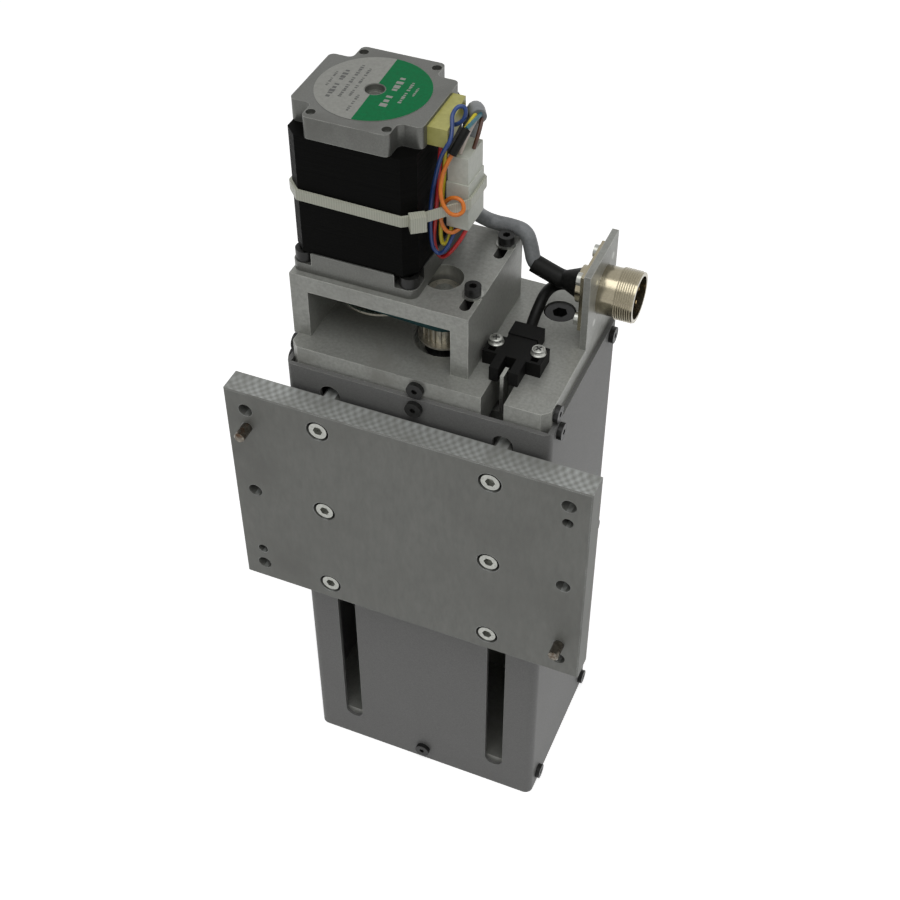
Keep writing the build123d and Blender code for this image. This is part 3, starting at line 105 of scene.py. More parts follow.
def buildStudio(spec):
    world = bpy.data.worlds.new("paleStudio")
    bpy.context.scene.world = world
    world.use_nodes = True
    tree = world.node_tree
    tree.nodes.clear()
    soft = tree.nodes.new("ShaderNodeBackground")
    soft.inputs["Color"].default_value = (1, 1, 1, 1)
    soft.inputs["Strength"].default_value = spec["worldGlow"]
    plain = tree.nodes.new("ShaderNodeBackground")
    plain.inputs["Color"].default_value = (1, 1, 1, 1)
    plain.inputs["Strength"].default_value = 1.0
    mix = tree.nodes.new("ShaderNodeMixShader")
    out = tree.nodes.new("ShaderNodeOutputWorld")
    tree.links.new(seenDirectly(tree), mix.inputs[0])
    tree.links.new(soft.outputs[0], mix.inputs[1])
    tree.links.new(plain.outputs[0], mix.inputs[2])
    tree.links.new(mix.outputs[0], out.inputs[0])

    for name, place, size, watts in spec["lamps"]:
        data = bpy.data.lights.new(name, "AREA")
        data.size = size
        data.energy = watts
        lamp = bpy.data.objects.new(name, data)
        bpy.context.scene.collection.objects.link(lamp)
        lamp.location = place
        aim = Vector(spec["aim"]) - Vector(place)
        lamp.rotation_euler = aim.to_track_quat("-Z", "Y").to_euler()

    mesh = bpy.data.meshes.new("floor")
    half = spec["floorSize"] / 2
    corners = [(-half, -half, 0), (half, -half, 0), (half, half, 0), (-half, half, 0)]
    mesh.from_pydata(corners, [], [(0, 1, 2, 3)])
    floor = bpy.data.objects.new("floor", mesh)
    bpy.context.scene.collection.objects.link(floor)
    floor.location.z = -spec["floorDrop"]
    mat = bpy.data.materials.new("paleFloor")
    mat.use_nodes = True
    tree = mat.node_tree
    tree.nodes.clear()
    matt = tree.nodes.new("ShaderNodeBsdfDiffuse")
    matt.inputs["Color"].default_value = spec["floorColour"]
    glow = tree.nodes.new("ShaderNodeEmission")
    glow.inputs["Strength"].default_value = spec["floorGlow"]
    dark = tree.nodes.new("ShaderNodeEmission")
    dark.inputs["Strength"].default_value = 0
    pick = tree.nodes.new("ShaderNodeMixShader")
    total = tree.nodes.new("ShaderNodeAddShader")
    out = tree.nodes.new("ShaderNodeOutputMaterial")
    tree.links.new(seenDirectly(tree), pick.inputs[0])
    tree.links.new(dark.outputs[0], pick.inputs[1])
    tree.links.new(glow.outputs[0], pick.inputs[2])
    tree.links.new(matt.outputs[0], total.inputs[0])
    tree.links.new(pick.outputs[0], total.inputs[1])
    tree.links.new(total.outputs[0], out.inputs[0])
    floor.data.materials.append(mat)


buildStudio(studio)
print("studio ready")


# shader groups that several finishes share
def newGroup(name, inputs, outputs):
    group = bpy.data.node_groups.new(name, "ShaderNodeTree")
    for label, kind, value in inputs:
        socket = group.interface.new_socket(name=label, in_out="INPUT", socket_type=kind)
        socket.default_value = value
    for label, kind in outputs:
        group.interface.new_socket(name=label, in_out="OUTPUT", socket_type=kind)
    start = group.nodes.new("NodeGroupInput")
    end = group.nodes.new("NodeGroupOutput")
    return group, start, end


# fine grain drawn out along one direction, as a cutter or brush leaves it
def buildGrain():
    group, start, end = newGroup(
        "drawnGrain",
        [("Scale", "NodeSocketFloat", 100.0), ("Stretch", "NodeSocketVector", (1, 1, 1))],
        [("Value", "NodeSocketFloat")])
    place = group.nodes.new("ShaderNodeTexCoord")
    stretch = group.nodes.new("ShaderNodeVectorMath")
    stretch.operation = "MULTIPLY"
    noise = group.nodes.new("ShaderNodeTexNoise")
    noise.inputs["Detail"].default_value = 4
    noise.inputs["Roughness"].default_value = 0.6
    group.links.new(place.outputs["Object"], stretch.inputs[0])
    group.links.new(start.outputs["Stretch"], stretch.inputs[1])
    group.links.new(stretch.outputs[0], noise.inputs["Vector"])
    group.links.new(start.outputs["Scale"], noise.inputs["Scale"])
    spread = group.nodes.new("ShaderNodeMapRange")
    spread.inputs["From Min"].default_value = 0.3
    spread.inputs["From Max"].default_value = 0.7
    group.links.new(noise.outputs["Fac"], spread.inputs["Value"])
    group.links.new(spread.outputs["Result"], end.inputs["Value"])
    return group


# soft cloudy stains, pushed to a mask by their own threshold
def buildClouds():
    group, start, end = newGroup(
        "cloudStains",
        [("Scale", "NodeSocketFloat", 20.0), ("Low", "NodeSocketFloat", 0.4),
         ("High", "NodeSocketFloat", 0.7)],
        [("Mask", "NodeSocketFloat")])
    place = group.nodes.new("ShaderNodeTexCoord")
    noise = group.nodes.new("ShaderNodeTexNoise")
    noise.inputs["Detail"].default_value = 6
    noise.inputs["Roughness"].default_value = 0.62
    noise.inputs["Distortion"].default_value = 0.4
    span = group.nodes.new("ShaderNodeMapRange")
    span.interpolation_type = "SMOOTHSTEP"
    group.links.new(place.outputs["Object"], noise.inputs["Vector"])
    group.links.new(start.outputs["Scale"], noise.inputs["Scale"])
    group.links.new(noise.outputs["Fac"], span.inputs["Value"])
    group.links.new(start.outputs["Low"], span.inputs["From Min"])
    group.links.new(start.outputs["High"], span.inputs["From Max"])
    group.links.new(span.outputs["Result"], end.inputs["Mask"])
    return group


# bright flakes and orange peel of a sprayed metallic paint
def buildFlakes():
    group, start, end = newGroup(
        "paintFlakes",
        [("Flake Scale", "NodeSocketFloat", 1500.0), ("Peel Scale", "NodeSocketFloat", 500.0)],
        [("Flake", "NodeSocketFloat"), ("Peel", "NodeSocketFloat")])
    place = group.nodes.new("ShaderNodeTexCoord")
    cells = group.nodes.new("ShaderNodeTexVoronoi")
    cells.feature = "F1"
    pick = group.nodes.new("ShaderNodeSeparateColor")
    peel = group.nodes.new("ShaderNodeTexNoise")
    peel.inputs["Detail"].default_value = 2
    group.links.new(place.outputs["Object"], cells.inputs["Vector"])
    group.links.new(start.outputs["Flake Scale"], cells.inputs["Scale"])
    group.links.new(cells.outputs["Color"], pick.inputs[0])
    group.links.new(pick.outputs[0], end.inputs["Flake"])
    group.links.new(place.outputs["Object"], peel.inputs["Vector"])
    group.links.new(start.outputs["Peel Scale"], peel.inputs["Scale"])
    group.links.new(peel.outputs["Fac"], end.inputs["Peel"])
    return group


# evenly spaced ridges along one axis of the stage
def buildRidges():
    group, start, end = newGroup(
        "evenRidges",
        [("Direction", "NodeSocketVector", (0, 0, 1)), ("Pitch", "NodeSocketFloat", 0.001)],
        [("Height", "NodeSocketFloat")])
    place = group.nodes.new("ShaderNodeTexCoord")
    along = group.nodes.new("ShaderNodeVectorMath")
    along.operation = "DOT_PRODUCT"
    turns = group.nodes.new("ShaderNodeMath")
    turns.operation = "DIVIDE"
    wave = group.nodes.new("ShaderNodeMath")
    wave.operation = "PINGPONG"
    wave.inputs[1].default_value = 0.5
    group.links.new(place.outputs["Object"], along.inputs[0])
    group.links.new(start.outputs["Direction"], along.inputs[1])
    group.links.new(along.outputs["Value"], turns.inputs[0])
    group.links.new(start.outputs["Pitch"], turns.inputs[1])
    group.links.new(turns.outputs[0], wave.inputs[0])
    group.links.new(wave.outputs[0], end.inputs["Height"])
    return group


upwardFrom = 0.95            # a face counts as an upper edge from this tilt on


# the crossing arcs that an end mill leaves on an upper edge
def buildArcs():
    group, start, end = newGroup(
        "cutterArcs",
        [("Centre", "NodeSocketFloat", 0.0), ("Radius", "NodeSocketFloat", 0.03),
         ("Pitch", "NodeSocketFloat", 0.003)],
        [("Height", "NodeSocketFloat"), ("Face", "NodeSocketFloat")])

    def maths(kind, first, second=None):
        node = group.nodes.new("ShaderNodeMath")
        node.operation = kind
        for socket, value in zip(node.inputs, (first, second)):
            if value is None:
                continue
            if isinstance(value, float):
                socket.default_value = value
            else:
                group.links.new(value, socket)
        return node.outputs[0]

    place = group.nodes.new("ShaderNodeTexCoord")
    parts = group.nodes.new("ShaderNodeSeparateXYZ")
    group.links.new(place.outputs["Object"], parts.inputs[0])
    away = maths("SUBTRACT", parts.outputs["Y"], start.outputs["Centre"])
    inner = maths("SUBTRACT", maths("MULTIPLY", start.outputs["Radius"], start.outputs["Radius"]),
                  maths("MULTIPLY", away, away))
    reach = maths("SQRT", inner)
    waves = []
    for kind in ("SUBTRACT", "ADD"):
        turns = maths("DIVIDE", maths(kind, parts.outputs["X"], reach), start.outputs["Pitch"])
        waves.append(maths("PINGPONG", turns, 0.5))
    upward = group.nodes.new("ShaderNodeSeparateXYZ")
    group.links.new(place.outputs["Normal"], upward.inputs[0])
    topFace = maths("GREATER_THAN", upward.outputs["Z"], upwardFrom)
    group.links.new(maths("MULTIPLY", maths("ADD", *waves), topFace), end.inputs["Height"])
    group.links.new(topFace, end.inputs["Face"])
    return group


# sharp edges given a painted highlight, broken up by a little noise
def buildEdgeGlint():
    group, start, end = newGroup(
        "paintedEdgeGlint",
        [("Radius", "NodeSocketFloat", 0.0006), ("Amount", "NodeSocketFloat", 0.8)],
        [("Mask", "NodeSocketFloat")])
    rounded = group.nodes.new("ShaderNodeBevel")
    rounded.samples = 4
    group.links.new(start.outputs["Radius"], rounded.inputs["Radius"])
    flat = group.nodes.new("ShaderNodeNewGeometry")
    same = group.nodes.new("ShaderNodeVectorMath")
    same.operation = "DOT_PRODUCT"
    group.links.new(rounded.outputs["Normal"], same.inputs[0])
    group.links.new(flat.outputs["Normal"], same.inputs[1])
    turned = group.nodes.new("ShaderNodeMapRange")
    turned.inputs["From Min"].default_value = 0.99
    turned.inputs["From Max"].default_value = 0.85
    group.links.new(same.outputs["Value"], turned.inputs["Value"])
    place = group.nodes.new("ShaderNodeTexCoord")
    noise = group.nodes.new("ShaderNodeTexNoise")
    noise.inputs["Scale"].default_value = 120
    group.links.new(place.outputs["Object"], noise.inputs["Vector"])
    broken = group.nodes.new("ShaderNodeMapRange")
    broken.inputs["From Min"].default_value = 0.3
    broken.inputs["From Max"].default_value = 0.6
    group.links.new(noise.outputs["Fac"], broken.inputs["Value"])
    both = group.nodes.new("ShaderNodeMath")
    both.operation = "MULTIPLY"
    group.links.new(turned.outputs["Result"], both.inputs[0])
    group.links.new(broken.outputs["Result"], both.inputs[1])
    scaled = group.nodes.new("ShaderNodeMath")
    scaled.operation = "MULTIPLY"
    group.links.new(both.outputs[0], scaled.inputs[0])
    group.links.new(start.outputs["Amount"], scaled.inputs[1])
    group.links.new(scaled.outputs[0], end.inputs["Mask"])
    return group


grain = buildGrain()
clouds = buildClouds()
flakes = buildFlakes()
ridges = buildRidges()
arcs = buildArcs()
edgeGlint = buildEdgeGlint()


def groupNode(tree, group, **values):
    node = tree.nodes.new("ShaderNodeGroup")
    node.node_tree = group
    for name, value in values.items():
        node.inputs[name.replace("_", " ")].default_value = value
    return node


def mixColour(tree, factor, first, second):
    node = tree.nodes.new("ShaderNodeMix")
    node.data_type = "RGBA"
    tree.links.new(factor, node.inputs["Factor"])
    for value, socket in ((first, node.inputs[6]), (second, node.inputs[7])):
        if isinstance(value, tuple):
            socket.default_value = value
        else:
            tree.links.new(value, socket)
    return node.outputs[2]


def mapRange(tree, value, low, high):
    node = tree.nodes.new("ShaderNodeMapRange")
    node.inputs["To Min"].default_value = low
    node.inputs["To Max"].default_value = high
    tree.links.new(value, node.inputs["Value"])
    return node.outputs["Result"]


olive = {"green": 1.015, "blue": 0.94}     # bare metal leans a little to olive


def grey(value, warm=0.0):
    return (value * (1 + warm), value * olive["green"], value * (olive["blue"] - warm), 1)


def principled(name):
    mat = bpy.data.materials.new(name)
    mat.use_nodes = True
    return mat, mat.node_tree, mat.node_tree.nodes["Principled BSDF"]


# a bump from a height, joined to the shader
def addBump(tree, shader, height, strength, distance):
    raised = tree.nodes.new("ShaderNodeBump")
    raised.inputs["Strength"].default_value = strength
    raised.inputs["Distance"].default_value = distance
    tree.links.new(height, raised.inputs["Height"])
    tree.links.new(raised.outputs[0], shader.inputs["Normal"])


# how wide the painted edge highlights are, in metres, and how strong
glintSize = {
    "housing": {"Radius": 0.0006, "Amount": 0.8},
    "cover": {"Radius": 0.0005, "Amount": 0.6},
    "plate": {"Radius": 0.0006, "Amount": 0.7},
}


# a metal or moulded surface: two tones, grain, stains, a fine bump and, where asked, a painted
# edge highlight
def surface(name, tones, rough, metallic=0.0, grainScale=400.0, stretch=(1, 1, 1),
            stain=None, stainScale=18.0, stainSpan=(0.45, 0.75), bump=0.05, bumpDistance=0.0002,
            shine=0.5, glintColour=None):
    mat, tree, shader = principled(name)
    fine = groupNode(tree, grain, Scale=grainScale, Stretch=stretch)
    colour = mixColour(tree, fine.outputs["Value"], tones[0], tones[1])
    if stain:
        patch = groupNode(tree, clouds, Scale=stainScale, Low=stainSpan[0], High=stainSpan[1])
        colour = mixColour(tree, patch.outputs["Mask"], colour, stain)
        roughness = mapRange(tree, patch.outputs["Mask"], rough[0], rough[1])
    else:
        roughness = mapRange(tree, fine.outputs["Value"], rough[0], rough[1])
    if glintColour:
        # a painted highlight along the sharp edges
        edge = groupNode(tree, edgeGlint, **glintSize["housing"])
        colour = mixColour(tree, edge.outputs["Mask"], colour, glintColour)
    tree.links.new(colour, shader.inputs["Base Color"])
    tree.links.new(roughness, shader.inputs["Roughness"])
    shader.inputs["Metallic"].default_value = metallic
    shader.inputs["Specular IOR Level"].default_value = shine
    if bump:
        addBump(tree, shader, fine.outputs["Value"], bump, bumpDistance)
    return mat


# the sheet cover's sprayed silver-grey paint
coverSpray = {
    "dark": (0.12, 0.12, 0.117, 1),
    "light": (0.185, 0.185, 0.18, 1),
    # the colour of the painted edge highlight
    "glintEdge": grey(0.4),
    "rough": (0.46, 0.62),
    "spray": {"Flake_Scale": 2600.0, "Peel_Scale": 1100.0},
    "flakeShare": (0.25, 0.75),
    "patches": {"Scale": 9.0, "Low": 0.35, "High": 0.8},
    "patchShare": (0.0, 0.4),
    "bump": (0.12, 0.0002),  # strength, distance in metres
    "metallic": 0.2,
    "shine": 0.3,
}


def metallicPaint(name, spec):
    mat, tree, shader = principled(name)
    spray = groupNode(tree, flakes, **spec["spray"])
    patch = groupNode(tree, clouds, **spec["patches"])
    flake = mapRange(tree, spray.outputs["Flake"], *spec["flakeShare"])
    base = mixColour(tree, flake, spec["dark"], spec["light"])
    dulled = mapRange(tree, patch.outputs["Mask"], *spec["patchShare"])
    sprayTone = mixColour(tree, dulled, base, spec["dark"])
    # a painted highlight along the cover's sharp edges
    glint = groupNode(tree, edgeGlint, **glintSize["cover"])
    sprayTone = mixColour(tree, glint.outputs["Mask"], sprayTone, spec["glintEdge"])
    roughness = mapRange(tree, spray.outputs["Peel"], *spec["rough"])
    tree.links.new(sprayTone, shader.inputs["Base Color"])
    tree.links.new(roughness, shader.inputs["Roughness"])
    addBump(tree, shader, spray.outputs["Peel"], *spec["bump"])
    shader.inputs["Metallic"].default_value = spec["metallic"]
    shader.inputs["Specular IOR Level"].default_value = spec["shine"]
    return mat


# the front plate: ground faces, and an upper edge that keeps the marks of its cutter
plateGrind = {
    "tones": (grey(0.145), grey(0.195)),
    "edgeTones": (grey(0.22), (0.5, 0.52, 0.51, 1)),
    "stain": grey(0.12, 0.01),
    "rough": (0.5, 0.62),
    "cutter": {"Centre": -0.0325, "Radius": 0.03, "Pitch": 0.0038},    # metres
    "grain": {"Scale": 330.0, "Stretch": (1, 1, 0.35)},
    "patches": {"Scale": 13.0, "Low": 0.4, "High": 0.85},
    "unevenCut": {"Scale": 70.0, "Low": 0.3, "High": 0.7},
    "cutShare": (0.25, 0.9),
    "grainShare": (0.0, 0.4),
    "bump": (0.15, 0.0002),  # strength, distance in metres
    "metallic": 0.35,
    "shine": 0.3,
}


def groundPlate(name, spec):
    mat, tree, shader = principled(name)
    marks = groupNode(tree, arcs, **spec["cutter"])
    fine = groupNode(tree, grain, **spec["grain"])
    patch = groupNode(tree, clouds, **spec["patches"])
    base = mixColour(tree, fine.outputs["Value"], *spec["tones"])
    base = mixColour(tree, patch.outputs["Mask"], base, spec["stain"])
    # a painted highlight along the plate's sharp edges, in the upper edge's light tone
    glint = groupNode(tree, edgeGlint, **glintSize["plate"])
    base = mixColour(tree, glint.outputs["Mask"], base, spec["edgeTones"][1])
    uneven = groupNode(tree, clouds, **spec["unevenCut"])
    depth = tree.nodes.new("ShaderNodeMath")
    depth.operation = "MULTIPLY"
    tree.links.new(marks.outputs["Height"], depth.inputs[0])
    tree.links.new(mapRange(tree, uneven.outputs["Mask"], *spec["cutShare"]), depth.inputs[1])
    edge = mixColour(tree, depth.outputs[0], *spec["edgeTones"])
    colour = mixColour(tree, marks.outputs["Face"], base, edge)
    tree.links.new(colour, shader.inputs["Base Color"])
    roughness = mapRange(tree, fine.outputs["Value"], *spec["rough"])
    tree.links.new(roughness, shader.inputs["Roughness"])
    height = tree.nodes.new("ShaderNodeMath")
    height.operation = "ADD"
    tree.links.new(marks.outputs["Height"], height.inputs[0])
    tree.links.new(mapRange(tree, fine.outputs["Value"], *spec["grainShare"]), height.inputs[1])
    addBump(tree, shader, height.outputs[0], *spec["bump"])
    shader.inputs["Metallic"].default_value = spec["metallic"]
    shader.inputs["Specular IOR Level"].default_value = spec["shine"]
    return mat


# the strap's moulded nylon, with fine cross ridges
strap = {
    "dark": (0.42, 0.43, 0.35, 1),
    "light": (0.53, 0.54, 0.45, 1),
    "ridges": {"Direction": (0.82, 0.57, 0), "Pitch": 0.0009},
    "shade": (0.0, 2.0),
    "bump": (0.5, 0.0003),   # strength, distance in metres
    "rough": 0.38,
}


def ridgedNylon(name, spec):
    mat, tree, shader = principled(name)
    marks = groupNode(tree, ridges, **spec["ridges"])
    # ridge tops painted lighter and grooves darker: painted shade between the ridges
    height = mapRange(tree, marks.outputs["Height"], *spec["shade"])
    shade = mixColour(tree, height, spec["dark"], spec["light"])
    addBump(tree, shader, marks.outputs["Height"], *spec["bump"])
    tree.links.new(shade, shader.inputs["Base Color"])
    shader.inputs["Roughness"].default_value = spec["rough"]
    return mat


# two tones, roughness from and to, metallic, grain scale, and what else the finish has
# the anodised and cast finishes get a painted highlight along their sharp edges
finishes = {
    "anodised": surface("clearAnodised", (grey(0.25), grey(0.33)), (0.40, 0.54), 0.35, 700,
                        stain=grey(0.21, 0.02), stainScale=26, bump=0.04, shine=0.3,
                        glintColour=grey(0.62)),
    "groundPlate": groundPlate("groundPlate", plateGrind),
    "coverPaint": metallicPaint("coverPaint", coverSpray),
    "brightSteel": surface("brightSteel", (grey(0.30), grey(0.44)), (0.26, 0.38), 0.85, 900,
                           bump=0.03),
    "blackScrew": surface("blackScrew", (grey(0.004), grey(0.010)), (0.32, 0.5), 0.0, 900,
                          bump=0.04, shine=0.3),
    "wornPin": surface("wornPin", ((0.07, 0.06, 0.045, 1), (0.22, 0.20, 0.17, 1)),
                       (0.2, 0.45), 0.85, 500, stain=(0.07, 0.04, 0.022, 1), stainScale=260,
                       stainSpan=(0.5, 0.65)),
    "castCap": surface("castCap", (grey(0.125), grey(0.165)), (0.36, 0.48), 0.5, 1500,
                       stain=grey(0.115, 0.01), stainScale=35, bump=0.08, shine=0.3,
                       glintColour=grey(0.36)),
    "stackBlack": surface("stackBlack", (grey(0.0015), grey(0.004)), (0.45, 0.6), 0.0, 90,
                          stretch=(0.2, 0.2, 14), bump=0.25, bumpDistance=0.0003, shine=0.03),
    "pulleyMetal": surface("pulleyMetal", ((0.40, 0.38, 0.32, 1), (0.56, 0.53, 0.46, 1)),
                           (0.25, 0.4), 0.85, 700, bump=0.03),
    "tealRubber": surface("tealRubber", ((0.004, 0.030, 0.032, 1), (0.010, 0.060, 0.062, 1)),
                          (0.55, 0.75), 0.0, 900, bump=0.12, shine=0.3),
    "blackPlastic": surface("blackPlastic", (grey(0.003), grey(0.007)), (0.42, 0.55), 0.0, 1600,
                            bump=0.06, shine=0.1),
    "creamPlastic": surface("creamPlastic", ((0.38, 0.36, 0.095, 1), (0.48, 0.46, 0.15, 1)),
                            (0.3, 0.42), 0.0, 300, bump=0.02, shine=0.35),
    "whitePlastic": surface("whitePlastic", ((0.53, 0.55, 0.48, 1), (0.62, 0.64, 0.57, 1)),
                            (0.34, 0.46), 0.0, 500, bump=0.02, shine=0.35),
    "nylon": ridgedNylon("naturalNylon", strap),
    "greyJacket": surface("greyJacket", ((0.185, 0.195, 0.20, 1), (0.26, 0.27, 0.275, 1)),
                          (0.42, 0.56), 0.0, 600, bump=0.05, shine=0.35),
    "blackJacket": surface("blackJacket", (grey(0.004), grey(0.010)), (0.38, 0.55), 0.0, 700,
                           bump=0.08, shine=0.12),
    "nickel": surface("nickelPlate", ((0.29, 0.26, 0.185, 1), (0.34, 0.305, 0.225, 1)),
                      (0.15, 0.2), 0.95, 900, bump=0.01),
    "goldPin": surface("goldPin", ((0.46, 0.30, 0.10, 1), (0.6, 0.42, 0.18, 1)), (0.2, 0.3), 0.95,
                       800, bump=0.02),
    "redWire": surface("redWire", ((0.42, 0.010, 0.012, 1), (0.56, 0.02, 0.02, 1)), (0.3, 0.42)),
    "yellowWire": surface("yellowWire", ((0.60, 0.50, 0.02, 1), (0.74, 0.62, 0.04, 1)),
                          (0.3, 0.42)),
    "blueWire": surface("blueWire", ((0.008, 0.030, 0.14, 1), (0.015, 0.06, 0.24, 1)),
                        (0.3, 0.42)),
    "orangeWire": surface("orangeWire", ((0.62, 0.15, 0.01, 1), (0.78, 0.22, 0.02, 1)),
                          (0.3, 0.42)),
    "brownWire": surface("brownWire", ((0.06, 0.02, 0.010, 1), (0.10, 0.035, 0.015, 1)),
                         (0.3, 0.42)),
    "whiteWire": surface("whiteWire", ((0.60, 0.52, 0.46, 1), (0.70, 0.62, 0.56, 1)), (0.3, 0.42)),
    "labelSilver": surface("labelSilver", (grey(0.24, 0.01), grey(0.30, 0.01)), (0.40, 0.5), 0.1,
                           600, bump=0.01, shine=0.3),
    "labelGreen": surface("labelGreen", ((0.001, 0.13, 0.04, 1), (0.002, 0.17, 0.055, 1)),
                          (0.45, 0.55), 0.0, 600, bump=0.01, shine=0.08),
    "labelInk": surface("labelInk", (grey(0.05), grey(0.08)), (0.4, 0.5), 0.0, 600, bump=0.0),
    # a near-black finish for the cross recesses: painted shade
    "recess": surface("recessShade", (grey(0.012), grey(0.03)), (0.4, 0.6), 0.4, 900, bump=0.0),
    "tealWire": surface("tealWire", ((0.02, 0.10, 0.14, 1), (0.04, 0.18, 0.22, 1)), (0.3, 0.42)),
}

nodeFinish = {
    "anodised": ["bottom_plate", "back_plate", "top_plate", "carriage", "motor_bracket",
                 "connector_plate"],
    "groundPlate": ["front_plate", "left_arm", "right_arm"],
    "coverPaint": ["front_cover"],
    "brightSteel": ["plate_screws", "sensor_flag", "flag_screws", "rails", "guide_blocks",
                    "ball_nut", "ball_screw", "bearing_outer_rings", "bearing_inner_rings",
                    "circlip", "bracket_washers", "motor_bearings", "motor_rotor",
                    "sensor_screws", "connector_screws"],
    "blackScrew": ["cover_screws", "hood_screws", "frame_bolts", "rail_screws", "block_screws",
                   "nut_screws", "locking_collar", "bracket_screws", "motor_screws"],
    "wornPin": ["dowel_pins"],
    "castCap": ["motor_front", "motor_rear"],
    "stackBlack": ["motor_stator"],
    "pulleyMetal": ["motor_pulley", "screw_pulley"],
    "tealRubber": ["drive_belt"],
    "blackPlastic": ["photo_sensor", "sensor_plug", "connector_insert"],
    "creamPlastic": ["lead_block"],
    "whitePlastic": ["wire_connector_lower", "wire_connector_upper"],
    "nylon": ["cable_tie"],
    "nickel": ["connector_shell"],
    "goldPin": ["connector_pins"],
    "blackJacket": ["cable_boot", "lead_sleeve", "sensor_lead"],
    "greyJacket": ["motor_cable"],
    "redWire": ["lead_red"],
    "yellowWire": ["lead_yellow"],
    "blueWire": ["lead_blue"],
    "orangeWire": ["lead_orange"],
    "brownWire": ["cable_wires"],
}

for finish, names in nodeFinish.items():
    for name in names:
        mesh = nodes[name].data
        mesh.materials.clear()
        mesh.materials.append(finishes[finish])
print("finishes on", sum(len(names) for names in nodeFinish.values()), "nodes")


cordMesh = {"roundness": 5, "steps": 12, "order": 3}


# a cord is a smooth line drawn by its route's corner points
def cordCurve(name, points, radius, finish, body, replaced=()):
    curve = bpy.data.curves.new(name, "CURVE")
    curve.dimensions = "3D"
    curve.bevel_depth = radius / 1000
    curve.bevel_resolution = cordMesh["roundness"]
    curve.resolution_u = cordMesh["steps"]
    curve.use_fill_caps = True
    spline = curve.splines.new("NURBS")
    spline.points.add(len(points) - 1)
    for knot, point in zip(spline.points, points):
        knot.co = (point[0] / 1000, point[1] / 1000, point[2] / 1000, 1)
    spline.order_u = cordMesh["order"]
    spline.use_endpoint_u = True
    obj = bpy.data.objects.new(name, curve)
    bpy.context.scene.collection.objects.link(obj)
    obj.data.materials.append(finish)
    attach(obj, body)
    if replaced:
        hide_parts(*replaced)


motorSide = (-4.4187, 0, 302)    # the motor's right face and the bracket's top


def besideMotor(*points):
    return [tuple(a + b for a, b in zip(motorSide, point)) for point in points]


cords = {
    # name: (radius, finish, slot, replaced node, points in millimetres)
    "redLead": (0.85, "redWire", "red_wire", ("lead_red",), besideMotor(
        (4.6, -12.6, 67), (4.2, -13.2, 56), (3.3, -13.4, 43), (2.4, -13.5, 31),
        (1.2, -13.1, 20.4), (3, -13.1, 13.4), (5.8, -13.2, 12.6), (10, -13.4, 18.2),
        (13.8, -12.6, 25), (15.1, -10.5, 29))),
    "yellowLead": (0.85, "yellowWire", "yellow_wire", ("lead_yellow",), besideMotor(
        (6.2, -12.3, 67), (6.1, -12.2, 55), (4.9, -12, 42), (4.2, -12, 30),
        (4.1, -12.5, 23.3), (4.9, -12.7, 19.2), (6.9, -12.6, 19.6), (8.1, -12, 24),
        (8.4, -10.5, 29))),
    "blueLead": (0.85, "blueWire", "blue_wire", ("lead_blue",), besideMotor(
        (7, -6.5, 71.8), (9.8, -6.2, 72.6), (12, -5.3, 76.2), (11.3, -4.2, 79.6),
        (8.6, -5.5, 79.9), (7.3, -8.1, 77.2), (8.6, -10.6, 74.9), (9.8, -14.8, 70.8),
        (8.4, -16.6, 68), (5.9, -16, 62.6), (3.6, -15.3, 53.5), (1.7, -15, 44.5),
        (0.9, -15, 35.6), (0.8, -15, 26.7), (1.4, -15, 17.8), (4.8, -15, 14.9),
        (9, -15, 20.8), (10.7, -10.5, 29))),
    "orangeLead": (0.85, "orangeWire", "orange_wire", ("lead_orange",), besideMotor(
        (10.6, -15.6, 65), (8, -17, 59.3), (6.6, -18, 51.6), (7.8, -20.2, 45.6),
        (11.2, -20.6, 40.9), (14.4, -18.9, 39.7), (16.6, -17.4, 41.9), (14.8, -15.8, 45.4),
        (10, -15.6, 45.4), (5.8, -15.3, 39.5), (5, -15, 32.5), (7.3, -15, 27.6),
        (11, -14, 26.9), (12.9, -10.5, 29))),
    "leadSleeve": (1.75, "blackJacket", "sleeve_grey", ("lead_sleeve",), besideMotor(
        (14, -9.6, 73.5), (12.6, -13.2, 69.8), (10.6, -15.6, 65))),
    "motorCable": (3.3, "greyJacket", "grey_jacket", ("motor_cable",), besideMotor(
        (13.8, 3.2, 71.4), (12, 6.4, 71.6), (8.5, 12.7, 68.6), (6.4, 15.2, 63.5),
        (6.7, 9.2, 53), (6.5, 8.2, 38), (6.9, 12, 25), (6, 20.5, 12.8), (8.4, 27.5, 5.4),
        (13, 28.6, 4), (18.9, 28.8, 4.2)) + [
        (22.2, 27.2, 306.6), (25, 26.2, 300), (26.8, 25, 292.8), (32.2, 25, 290.7),
        (39.8, 24.9, 288), (44.8, 24.6, 288.6), (48.8, 24.2, 289.9)]),
    "sensorLead": (2.5, "blackJacket", "black_jacket", ("sensor_lead",), [
        (34.2, 3, 274.2), (33.3, 9, 275.4), (33.8, 15, 279.2), (34, 21, 281.2),
        (35.4, 26.6, 281.4), (39.8, 28.6, 283), (48.8, 27.4, 284.4)]),
    "wireYellow": (0.85, "yellowWire", "yellow_wire", (), besideMotor(
        (12.7, 2.8, 72.4), (11.2, -5.6, 70.6), (8.9, -11.2, 62))),
    "wireBrown": (0.85, "brownWire", "mixed_wire", ("cable_wires",), besideMotor(
        (15, 3.6, 70.6), (16.2, -1.2, 68.6), (15, -4.6, 62))),
    "wireWhite": (0.85, "whiteWire", "white_plastic", (), besideMotor(
        (13.7, 3.1, 71.8), (13, -4.8, 70.4), (11.5, -10, 62))),
    "wireTeal": (0.85, "tealWire", "mixed_wire", (), besideMotor(
        (14.6, 3.4, 72.6), (14.9, -3.4, 74), (14, -9.6, 73.5))),
}

for name, (radius, finish, slotName, replaced, points) in cords.items():
    cordCurve(name, points, radius, finishes[finish], "frame", replaced)
print("cords laid:", len(cords))
